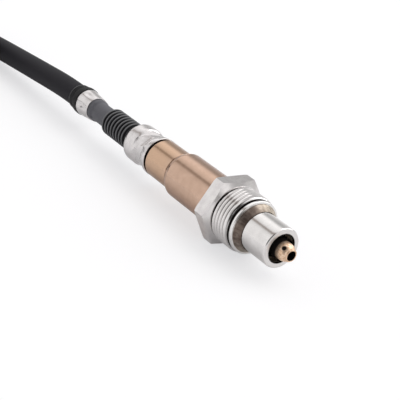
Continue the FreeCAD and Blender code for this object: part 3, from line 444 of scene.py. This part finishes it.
# The body's narrow rear end, where it goes into the crimp sleeve, and its bore are painted black
# as shade.
COPPER = turned_metal("tinted_body", (0.58, 0.40, 0.30), (0.63, 0.44, 0.335), (0.15, 0.24), 0.12,
                      painted_shade_inside=6.85, edge_tint=(0.80, 0.80, 0.82),
                      second=((0.63, 0.43, 0.30), -39.0, -44.0))
CRIMP = worn_metal("crimped_steel", (0.68, 0.655, 0.655), (0.77, 0.745, 0.745), (0.20, 0.25))
BOOT = ribbed_rubber("boot_rubber", (0.012, 0.012, 0.015), (0.19, 0.19, 0.20), 4.75, 5.35, 0.5)
BLACK_RUBBER = moulded("black_rubber", (0.010, 0.010, 0.011), 0.5, shine=0.25)
CUFF = cuff_rubber("cuff_rubber")
HOSE = moulded("hose_plastic", (0.0175, 0.0165, 0.0215), 0.6, shine=0.18)
PLUG = moulded("plug_plastic", (0.02, 0.02, 0.022), 0.45)
LOCK = moulded("lock_plastic", (0.30, 0.31, 0.32), 0.45)
SEAL = moulded("seal_rubber", (0.45, 0.12, 0.05), 0.55)
CERAMIC = moulded("white_ceramic", (0.72, 0.70, 0.64), 0.6)
WIRE = moulded("wire_cover", (0.6, 0.58, 0.55), 0.5)
PIN = turned_metal("pin_metal", (0.66, 0.56, 0.36), (0.76, 0.66, 0.46), (0.2, 0.3), 0.1)


# Meshes turned about the axis

def build_mesh(name, vertices, faces, material, smooth_angle):
    """A mesh whose edges are smooth up to this angle between faces, in degrees."""
    mesh = bpy.data.meshes.new(name)
    mesh.from_pydata([tuple(v) for v in vertices], [], faces)
    mesh.update()
    piece = bpy.data.objects.new(name, mesh)
    bpy.context.scene.collection.objects.link(piece)
    mesh.materials.append(material)
    for polygon in mesh.polygons:
        polygon.use_smooth = True
    mesh.set_sharp_from_angle(angle=math.radians(smooth_angle))
    return piece


def turned(name, points, material, node, radius_at=None, steps=96, smooth_angle=35.0):
    """A closed surface turned about the axis from (station, radius) points in millimetres, in
    place of a node of the part.

    radius_at, if given, changes each radius: radius_at(angle, station, radius)."""
    vertices = []
    faces = []
    for step in range(steps):
        angle = 2 * math.pi * step / steps
        for station, radius in points:
            r = radius_at(angle, station, radius) if radius_at else radius
            vertices.append(axis_point(station, r * math.cos(angle), r * math.sin(angle)))
    count = len(points)
    for step in range(steps):
        here = step * count
        there = (step + 1) % steps * count
        for index in range(count):
            after = (index + 1) % count
            faces.append((here + index, there + index, there + after, here + after))
    piece = build_mesh(name, vertices, faces, material, smooth_angle)
    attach(piece, "sensor")
    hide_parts(node)


def rounded(points, sizes, steps=4):
    """The closed outline with each corner in sizes, a dict of index to size, made round."""
    result = []
    count = len(points)
    for index, point in enumerate(points):
        size = sizes.get(index, 0.0)
        if not size:
            result.append(point)
            continue
        corner = Vector(point)
        before = Vector(points[index - 1]) - corner
        after = Vector(points[(index + 1) % count]) - corner
        size = min(size, before.length * 0.49, after.length * 0.49)
        start = corner + before.normalized() * size
        end = corner + after.normalized() * size
        for step in range(steps + 1):
            part = step / steps
            mid = start * (1 - part) ** 2 + corner * 2 * part * (1 - part) + end * part ** 2
            result.append((mid.x, mid.y))
    return result


def subdivided(points, longest):
    """The closed outline with points added so that no side is longer than this."""
    result = []
    count = len(points)
    for index, (station, radius) in enumerate(points):
        next_station, next_radius = points[(index + 1) % count]
        length = math.hypot(next_station - station, next_radius - radius)
        parts = max(1, math.ceil(length / longest))
        for part in range(parts):
            share = part / parts
            result.append((
                station + (next_station - station) * share,
                radius + (next_radius - radius) * share,
            ))
    return result


# The sensor's pieces, front to back

NOZZLE_RADIUS = 2.2
DENT_DEPTH = 0.6
DENT_SPREAD = 0.5


def tip_radius(angle, station, radius):
    """A small nick pressed into the dome, and not into the nozzle in front of it."""
    if radius < NOZZLE_RADIUS:
        return radius
    across = (angle - DENT_ANGLE) * DENT_RADIUS / DENT_SPREAD
    along = (station - DENT_STATION) / DENT_SPREAD
    return radius - DENT_DEPTH * math.exp(-across ** 2 - along ** 2)


def make_inner_tube():
    points = [
        (2.0, 3.5), (14.6, 3.5), (15.4, 3.14), (17.7, 3.1), (18.3, 3.0), (18.8, 2.8),
        (19.2, 2.5), (19.45, 2.25), (20.2, 2.2), (20.35, 2.05), (20.35, 1.62), (17.4, 1.62),
        (16.5, 2.7), (2.0, 2.7),
    ]
    outline = subdivided(rounded(points, {7: 0.2, 8: 0.15}), 0.25)
    turned("tip_inner_tube", outline, TIP, "inner_protection_tube", tip_radius, steps=120)


def make_outer_tube():
    points = [(3.65, 7.0), (15.4, 7.0), (15.4, 5.0), (14.7, 5.0), (14.7, 6.4), (3.65, 6.4)]
    outline = subdivided(rounded(points, {1: 0.75, 2: 0.12}, steps=6), 0.5)
    turned("tip_outer_tube", outline, TUBE, "outer_protection_tube", steps=128)


def make_housing():
    points = [
        (3.85, 7.15), (1.4, 8.4), (1.25, 8.6), (1.2, 9.4), (0.0, 9.4), (0.0, 8.0),
        (-15.4, 8.0), (-15.4, 7.57), (-21.85, 7.57), (-21.85, 5.2), (2.65, 5.2), (2.65, 7.02),
    ]
    outline = subdivided(rounded(points, {1: 0.2, 3: 0.35, 4: 0.35}), 0.4)
    turned("seat_flange", outline, HOUSING, "sensor_housing", steps=128)


NUT_STEPS = 360
NUT_BORE = 8.05
THREAD_PITCH = 1.5
THREAD_CREST = 10.0
THREAD_DEPTH = 0.85
ROWS_PER_TURN = 14
# The shares of half a pitch that the root's flat and the flank take
ROOT_SHARE = 0.16
FLANK_SHARE = 0.56
# The lengths over which the thread is cut away at its ends, and how deep
FRONT_CUT = 0.9
BACK_CUT = 0.4
END_DEPTH = 0.95
UNDERCUT_RADIUS = 9.15
# The chamfers' radii are those at the stations of the hexagon's front and back; the slope is the
# length along the axis for each length out from it.
HEX_FRONT = -10.2
HEX_BACK = -15.1
HEX_FLAT = 11.0
HEX_ROWS = 12
FRONT_CHAMFER = 11.5
BACK_CHAMFER = 12.1
CHAMFER_SLOPE = 0.5


def thread_radius(phase, station):
    """The screw thread's height at a phase of its turn, cut away towards both ends."""
    tooth = 1.0 - abs(phase * 2 - 1)
    height = min(1.0, max(0.0, (tooth - ROOT_SHARE) / FLANK_SHARE))
    radius = THREAD_CREST - THREAD_DEPTH * (1 - height)
    front = (NUT_FRONT - station) / FRONT_CUT
    back = (station - UNDERCUT_FRONT) / BACK_CUT
    end = max(0.0, 1.0 - min(front, back))
    return min(radius, THREAD_CREST - END_DEPTH * end)


def hex_side(angle):
    """Points along the hexagon at an angle, one flat down: front chamfer, flat, back chamfer."""
    offset = (angle - math.pi / 2 + math.pi / 6) % (math.pi / 3) - math.pi / 6
    flat = HEX_FLAT / math.cos(offset)
    foot = FRONT_CHAMFER - (UNDERCUT_BACK - HEX_FRONT) / CHAMFER_SLOPE
    front = HEX_FRONT - (flat - FRONT_CHAMFER) * CHAMFER_SLOPE
    back = max(HEX_BACK, HEX_BACK + (flat - BACK_CHAMFER) * CHAMFER_SLOPE)
    points = []
    for row in range(HEX_ROWS):
        part = row / HEX_ROWS
        points.append((UNDERCUT_BACK + (front - UNDERCUT_BACK) * part,
                       foot + (flat - foot) * part))
    for row in range(HEX_ROWS + 1):
        points.append((front + (back - front) * row / HEX_ROWS, flat))
    return points + [(HEX_BACK, min(flat, BACK_CHAMFER))]


def make_nut():
    """The union nut. Its thread's rows of points follow the screw line, and those of the hexagon
    follow the chamfers' edges, so that both are clean."""
    turns = math.ceil((NUT_FRONT - UNDERCUT_FRONT) / THREAD_PITCH) + 2
    thread_rows = turns * ROWS_PER_TURN
    groove = [(UNDERCUT_FRONT - 0.05, UNDERCUT_RADIUS), (UNDERCUT_BACK, UNDERCUT_RADIUS),
              (UNDERCUT_BACK, UNDERCUT_RADIUS + 0.15)]
    bore = [(HEX_BACK, 10.4), (HEX_BACK, 9.2), (HEX_BACK, NUT_BORE), (NUT_FRONT, NUT_BORE),
            (NUT_FRONT, 8.7)]
    vertices = []
    numbers = {}

    def number_of(point):
        key = tuple(round(part, 8) for part in point)
        if key not in numbers:
            numbers[key] = len(vertices)
            vertices.append(point)
        return numbers[key]

    grid = []
    for step in range(NUT_STEPS):
        turn = step / NUT_STEPS
        angle = 2 * math.pi * turn
        column = []
        for row in range(thread_rows):
            phase = 1.0 - row / ROWS_PER_TURN
            station = NUT_FRONT + THREAD_PITCH * (turn - row / ROWS_PER_TURN)
            station = min(NUT_FRONT, max(UNDERCUT_FRONT, station))
            if station in (NUT_FRONT, UNDERCUT_FRONT):
                phase = (station - NUT_FRONT) / THREAD_PITCH - turn
            column.append((station, thread_radius(phase % 1.0, station)))
        column += groove + hex_side(angle) + bore
        grid.append([
            number_of(axis_point(station, radius * math.cos(angle), radius * math.sin(angle)))
            for station, radius in column
        ])
    count = len(grid[0])
    faces = []
    for step in range(NUT_STEPS):
        here = grid[step]
        there = grid[(step + 1) % NUT_STEPS]
        for row in range(count):
            after = (row + 1) % count
            shifted = [row, after]
            if step == NUT_STEPS - 1:
                shifted = [max(0, index - ROWS_PER_TURN) if index < thread_rows else index
                           for index in shifted]
            corners = [here[row], there[shifted[0]], there[shifted[1]], here[after]]
            distinct = list(dict.fromkeys(corners))
            if len(distinct) > 2:
                faces.append(distinct)
    piece = build_mesh("threaded_nut", vertices, faces, NUT, 28.0)
    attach(piece, "nut")
    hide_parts("union_nut")


def make_body_sleeve():
    points = [
        (-15.4, 8.4), (-38.9, 8.4), (-39.15, 8.3), (-39.2, 8.22), (-39.3, 8.28), (-40.3, 7.9),
        (-41.0, 7.4), (-41.35, 7.2), (-41.45, 7.12), (-41.55, 7.2), (-53.7, 7.2),
        (-54.15, 6.85), (-54.3, 6.5), (-57.5, 6.5), (-57.5, 5.7), (-53.4, 5.7), (-53.4, 6.35),
        (-40.4, 6.35), (-38.4, 7.6), (-15.4, 7.6),
    ]
    outline = subdivided(rounded(points, {0: 0.25, 5: 0.5, 6: 0.5, 10: 0.3}), 0.5)
    turned("tinted_sleeve", outline, COPPER, "body_sleeve", steps=128)


JAWS = 8
JAW_FLAT = 6.22
JAW_SLANT = 0.10
WAIST = -60.7
WAIST_HALF = 2.75
RIPPLE_MIDDLE = -65.0
RIPPLE_HEIGHT = 0.04
CRIMP_INNER = 6.1


def crimp_radius(angle, station, radius):
    """Flats left by the jaws of the crimping tool, deepest at the waist and slanting a little,
    with a slight ripple behind them. Radii up to CRIMP_INNER stay as they are."""
    depth = math.exp(-((station - WAIST) / WAIST_HALF) ** 6)
    turned_by = angle + JAW_SLANT * (station + 61.0) + 0.25
    offset = (turned_by % (2 * math.pi / JAWS)) - math.pi / JAWS
    flat = JAW_FLAT * (1 + 0.012 * math.sin(3 * angle)) / math.cos(offset)
    outer = max(0.0, min(1.0, (radius - CRIMP_INNER) / 0.3))
    pressed = radius + (min(radius, flat) - radius) * depth * outer
    fading = math.exp(-((station - RIPPLE_MIDDLE) / 2.0) ** 2)
    return pressed + RIPPLE_HEIGHT * math.sin(5 * angle + 0.9 * station) * fading * outer


def make_crimp_sleeve():
    points = [
        (-54.95, 7.2), (-55.25, 7.32), (-56.4, 7.22), (-57.4, 6.98), (-58.6, 6.76), (-62.5, 6.74),
        (-63.2, 6.94), (-63.8, 7.16), (-65.0, 7.22), (-68.3, 7.18), (-69.0, 6.98), (-69.5, 6.6),
        (-69.7, 6.1), (-69.7, 5.5), (-69.1, 5.5), (-68.4, 6.6), (-64.0, 6.3), (-62.4, 6.0),
        (-59.0, 6.0), (-57.4, 6.62), (-54.95, 6.62),
    ]
    outline = subdivided(rounded(points, {0: 0.12, 12: 0.2}), 0.25)
    turned("crimped_sleeve", outline, CRIMP, "crimp_sleeve", crimp_radius, steps=240,
           smooth_angle=40.0)


BOOT_RIBS = 8
BOOT_RIB_PITCH = 2.0
BOOT_RIB_WIDTH = 1.1
BOOT_RIB_HEIGHT = 0.55
BOOT_RIB_FOOT = 4.8
BOOT_RIB_STEPS = 8
BOOT_GROOVE = 4.5
BOOT_GROOVE_EDGE = 0.12


def make_boot():
    points = [(-65.4, 3.1), (-65.4, 6.3), (-68.37, 6.3), (-68.37, 5.45), (-69.8, 5.4),
              (-70.0, 4.95), (-72.2, 4.95), (-72.4, BOOT_GROOVE)]
    for rib in range(BOOT_RIBS):
        front = FIRST_RIB - rib * BOOT_RIB_PITCH
        points.append((front + BOOT_GROOVE_EDGE, BOOT_GROOVE))
        for step in range(BOOT_RIB_STEPS + 1):
            angle = math.pi * step / BOOT_RIB_STEPS
            points.append((
                front - BOOT_RIB_WIDTH / 2 * (1 - math.cos(angle)),
                BOOT_RIB_FOOT + BOOT_RIB_HEIGHT * math.sin(angle),
            ))
        points.append((front - BOOT_RIB_WIDTH - BOOT_GROOVE_EDGE, BOOT_GROOVE))
    points += [(-88.6, 4.3), (-89.2, 3.95), (-98.2, 3.9), (-98.5, 4.1), (-98.8, 4.35),
               (-102.7, 4.4), (-102.75, 3.8), (-108.3, 3.8), (-108.3, 3.1)]
    turned("ribbed_boot", subdivided(points, 0.8), BOOT, "cable_boot", steps=128,
           smooth_angle=50.0)


FERRULE_INNER = 4.6
FERRULE_MIDDLE = -105.0
FERRULE_DENTS = 6
FERRULE_DENT_DEPTH = 0.3


def ferrule_radius(angle, station, radius):
    """Shallow dents round the outside of the ferrule."""
    if radius < FERRULE_INNER:
        return radius
    middle = math.exp(-((station - FERRULE_MIDDLE) / 2.2) ** 2)
    dent = max(0.0, math.cos(FERRULE_DENTS * angle + 0.6)) ** 1.5
    return radius - FERRULE_DENT_DEPTH * middle * dent


def make_ferrule():
    points = [(-100.7, 4.43), (-100.7, 4.74), (-102.8, 4.98), (-105.3, 5.2), (-107.8, 5.42),
              (-108.2, 5.3), (-108.2, 3.83), (-102.9, 3.83), (-102.8, 4.43)]
    outline = subdivided(rounded(points, {1: 0.12, 4: 0.2, 5: 0.15}), 0.4)
    turned("dented_ferrule", outline, CRIMP, "rear_ferrule", ferrule_radius, steps=120)


def make_end_ring():
    points = [(-108.2, 3.1), (-108.2, 5.6), (-110.85, 5.6), (-110.85, 3.1)]
    turned("end_ring", rounded(points, {1: 0.4, 2: 0.4}), BLACK_RUBBER, "hose_end_ring")


CUFF_RIBS = 4
CUFF_RIB_PITCH = 0.8
CUFF_RIB_HEIGHT = 0.22
CUFF_TAPER = 0.11


def make_cuff():
    points = [(-110.85, 3.1), (-110.85, 5.35)]
    for rib in range(CUFF_RIBS):
        front = -111.0 - rib * CUFF_RIB_PITCH
        crest = 5.38 - rib * CUFF_TAPER
        groove = crest - CUFF_RIB_HEIGHT
        points += [(front - 0.1, crest), (front - 0.4, crest), (front - 0.5, groove),
                   (front - 0.72, groove)]
    points += [(-114.1, 4.8), (CUFF_LIP, 4.98), (-114.35, 5.04), (-114.5, 4.9), (-114.5, 3.1)]
    turned("ribbed_cuff", points, CUFF, "hose_cuff", smooth_angle=60.0)


make_inner_tube()
make_outer_tube()
make_housing()
make_nut()
make_body_sleeve()
make_crimp_sleeve()
make_boot()
make_ferrule()
make_end_ring()
make_cuff()


# The hose: the route of the part's source, in metres, and one and a half turns of coil

HOSE_RADIUS = 4.6 * MM
HOSE_DIAMETER = HOSE_RADIUS * 2
COIL_RADIUS = 50.6 * MM
LEAD_ROUTE = [
    (0.0, 0.06725, 0.011),
    (0.0, 0.078, 0.011),
    (0.0, 0.097, 0.0095),
    (-0.0003, 0.130, 0.0070),
    (-0.0009, 0.156, 0.0049),
    (-0.0012, 0.175, 0.0046),
]
TAIL_ROUTE = [
    (-0.1024, 0.175, 0.0138),
    (-0.1024, 0.149, 0.0138),
    (-0.1032, 0.121, 0.0065),
    (-0.1032, 0.097, 0.0065),
]
POINTS_PER_TURN = 16
COIL_TURNS = 1.5
# Where the coil starts to rise onto its first turn, and for how long, in turns
RISE_STARTS = 0.70
RISE_LASTS = 0.18


def coil_points():
    """Control points of the coil, whose last half turn has risen onto the first turn."""
    centre_x = LEAD_ROUTE[-1][0] - COIL_RADIUS
    centre_y = LEAD_ROUTE[-1][1]
    step_angle = 2 * math.pi / POINTS_PER_TURN
    reach = COIL_RADIUS / math.cos(step_angle / 2)
    points = []
    for step in range(int(POINTS_PER_TURN * COIL_TURNS)):
        angle = (step + 0.5) * step_angle
        rise = min(1.0, max(0.0, (angle / (2 * math.pi) - RISE_STARTS) / RISE_LASTS))
        lift = rise * rise * (3 - 2 * rise)
        points.append((
            centre_x + reach * math.cos(angle),
            centre_y + reach * math.sin(angle),
            HOSE_RADIUS + HOSE_DIAMETER * lift,
        ))
    return points


def make_hose():
    points = LEAD_ROUTE[:-1] + coil_points() + TAIL_ROUTE[1:]
    curve = bpy.data.curves.new("protective_hose", "CURVE")
    curve.dimensions = "3D"
    curve.bevel_depth = HOSE_RADIUS
    curve.bevel_resolution = 12
    curve.resolution_u = 12
    curve.use_fill_caps = True
    spline = curve.splines.new("NURBS")
    spline.points.add(len(points) - 1)
    for target, point in zip(spline.points, points):
        target.co = (*point, 1.0)
    spline.order_u = 3
    spline.use_endpoint_u = True
    hose = bpy.data.objects.new("protective_hose", curve)
    bpy.context.scene.collection.objects.link(hose)
    hose.data.materials.append(HOSE)
    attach(hose, "sensor")
    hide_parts("hose_lead", "hose_coil", "hose_tail")
    return hose


hose_piece = make_hose()


NODE_MATERIALS = {
    "front_ceramic_bush": CERAMIC, "sealing_powder": CERAMIC, "rear_ceramic_bush": CERAMIC,
    "support_ring": STEEL, "sensing_element": CERAMIC, "contact_holder_upper": CERAMIC,
    "contact_holder_lower": CERAMIC, "spring_clamp": STEEL, "contact_springs": PIN,
    "lead_wires": WIRE, "wire_seal": SEAL, "connector_gland": PLUG, "connector_housing": PLUG,
    "connector_seal": SEAL, "connector_lock": LOCK, "connector_terminals": PIN,
}
for node_name, node_material in NODE_MATERIALS.items():
    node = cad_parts[node_name]
    node.data.materials.clear()
    node.data.materials.append(node_material)


# Stage and light

NEUTRAL = (1.0, 0.99, 0.985)
DARK_TINT = (1.0, 0.90, 0.84)
# Round the axis from +x over the top to -x: angle in degrees, brightness, tint
STUDIO_ARC = [
    (0, 0.74, NEUTRAL), (18, 0.64, NEUTRAL), (31, 0.48, NEUTRAL), (43, 0.54, NEUTRAL),
    (57, 1.12, NEUTRAL), (68, 1.20, NEUTRAL), (84, 1.06, NEUTRAL), (102, 0.86, NEUTRAL),
    (107, 0.38, DARK_TINT), (114, 0.38, DARK_TINT), (122, 0.84, NEUTRAL), (140, 0.95, NEUTRAL),
    (180, 0.95, NEUTRAL),
]
FLOOR_HALF_SIZE = 6.0
FLOOR_DROP = 0.05 * MM
FLOOR_COLOUR = (0.88, 0.88, 0.885)
PLAIN_WHITE = (1.18, 1.18, 1.20)
PLAIN_SHARE = 0.50
REFLECTED_SHARE = 0.11
CARD_COLOUR = (0.95, 0.94, 0.936)
# The card's place and height, in metres
CARD_X = -0.070
CARD_NEAR_Y = -0.020
CARD_FAR_Y = 0.120
CARD_TOP = 0.050
# The dark room behind the camera, whose edge is soft; angles in degrees
ROOM_DIRECTION = Vector((-0.60, -0.70, 0.38))
ROOM_EDGE = 46.0
ROOM_CORE = 30.0
ROOM_LEVEL = 0.14
KEY_ENERGY = 1.05
KEY_WIDTH = 58.0
KEY_DIRECTION = Vector((1.15, -0.15, 1.0))


def make_floor():
    """White paper that the camera sees as part lit and part plain white."""
    material, tree, shader = new_material("floor_white")
    shader.inputs["Base Color"].default_value = (*FLOOR_COLOUR, 1.0)
    shader.inputs["Roughness"].default_value = 0.6
    shader.inputs["Specular IOR Level"].default_value = 0.0
    plain = tree.nodes.new("ShaderNodeEmission")
    plain.inputs["Color"].default_value = (*PLAIN_WHITE, 1.0)
    path = tree.nodes.new("ShaderNodeLightPath")
    seen = calculate(tree, "MULTIPLY", path.outputs["Is Camera Ray"], PLAIN_SHARE)
    mirrored = calculate(tree, "MULTIPLY", path.outputs["Is Glossy Ray"], REFLECTED_SHARE)
    mix = tree.nodes.new("ShaderNodeMixShader")
    tree.links.new(calculate(tree, "ADD", seen, mirrored), mix.inputs["Fac"])
    tree.links.new(shader.outputs["BSDF"], mix.inputs[1])
    tree.links.new(plain.outputs["Emission"], mix.inputs[2])
    output = tree.nodes["Material Output"]
    tree.links.new(mix.outputs["Shader"], output.inputs["Surface"])
    size = FLOOR_HALF_SIZE
    mesh = bpy.data.meshes.new("floor")
    mesh.from_pydata(
        [(-size, -size, 0), (size, -size, 0), (size, size, 0), (-size, size, 0)],
        [], [(0, 1, 2, 3)],
    )
    floor = bpy.data.objects.new("floor", mesh)
    bpy.context.scene.collection.objects.link(floor)
    mesh.materials.append(material)
    floor.location.z = -FLOOR_DROP


def make_world():
    """A bright studio whose ceiling has one dark gap that runs along the sensor's axis, with the
    dark room behind the camera. The camera itself sees plain white."""
    world = bpy.data.worlds.new("studio")
    bpy.context.scene.world = world
    world.use_nodes = True
    tree = world.node_tree
    position = tree.nodes.new("ShaderNodeTexCoord")
    split = tree.nodes.new("ShaderNodeSeparateXYZ")
    tree.links.new(position.outputs["Generated"], split.inputs["Vector"])
    angle = calculate(tree, "ARCTAN2", split.outputs["Z"], split.outputs["X"])
    share = map_value(tree, angle, 0.0, math.pi, 0.0, 1.0)
    colour = ramp(tree, share, [
        (degrees / 180.0, tuple(level * part for part in tint))
        for degrees, level, tint in STUDIO_ARC
    ])
    facing = measured(tree, "DOT_PRODUCT", position.outputs["Generated"],
                      ROOM_DIRECTION.normalized())
    patch = map_value(tree, facing, math.cos(math.radians(ROOM_EDGE)),
                      math.cos(math.radians(ROOM_CORE)), 1.0, ROOM_LEVEL)
    darkened = tree.nodes.new("ShaderNodeVectorMath")
    darkened.operation = "SCALE"
    tree.links.new(colour, darkened.inputs[0])
    tree.links.new(patch, darkened.inputs["Scale"])
    path = tree.nodes.new("ShaderNodeLightPath")
    shown = blended(tree, path.outputs["Is Camera Ray"], darkened.outputs["Vector"],
                    (1.0, 1.0, 1.0))
    background = tree.nodes["Background"]
    tree.links.new(shown, background.inputs["Color"])


def make_card():
    """A white card, out of the picture, that keeps the plug out of the metal's reflections."""
    material, tree, _ = new_material("card_white")
    plain = tree.nodes.new("ShaderNodeEmission")
    plain.inputs["Color"].default_value = (*CARD_COLOUR, 1.0)
    clear = tree.nodes.new("ShaderNodeBsdfTransparent")
    path = tree.nodes.new("ShaderNodeLightPath")
    mix = tree.nodes.new("ShaderNodeMixShader")
    tree.links.new(path.outputs["Is Glossy Ray"], mix.inputs["Fac"])
    tree.links.new(clear.outputs["BSDF"], mix.inputs[1])
    tree.links.new(plain.outputs["Emission"], mix.inputs[2])
    output = tree.nodes["Material Output"]
    tree.links.new(mix.outputs["Shader"], output.inputs["Surface"])
    mesh = bpy.data.meshes.new("card")
    mesh.from_pydata(
        [(CARD_X, CARD_NEAR_Y, 0), (CARD_X, CARD_FAR_Y, 0), (CARD_X, CARD_FAR_Y, CARD_TOP),
         (CARD_X, CARD_NEAR_Y, CARD_TOP)],
        [], [(0, 1, 2, 3)],
    )
    card = bpy.data.objects.new("card", mesh)
    bpy.context.scene.collection.objects.link(card)
    mesh.materials.append(material)


def make_key_light():
    data = bpy.data.lights.new("key", "SUN")
    data.energy = KEY_ENERGY
    data.angle = math.radians(KEY_WIDTH)
    key = bpy.data.objects.new("key", data)
    bpy.context.scene.collection.objects.link(key)
    key.rotation_mode = "QUATERNION"
    key.rotation_quaternion = KEY_DIRECTION.normalized().to_track_quat("Z", "Y")


make_floor()
make_card()
make_world()
make_key_light()

scene = bpy.context.scene
scene.view_settings.view_transform = "Standard"
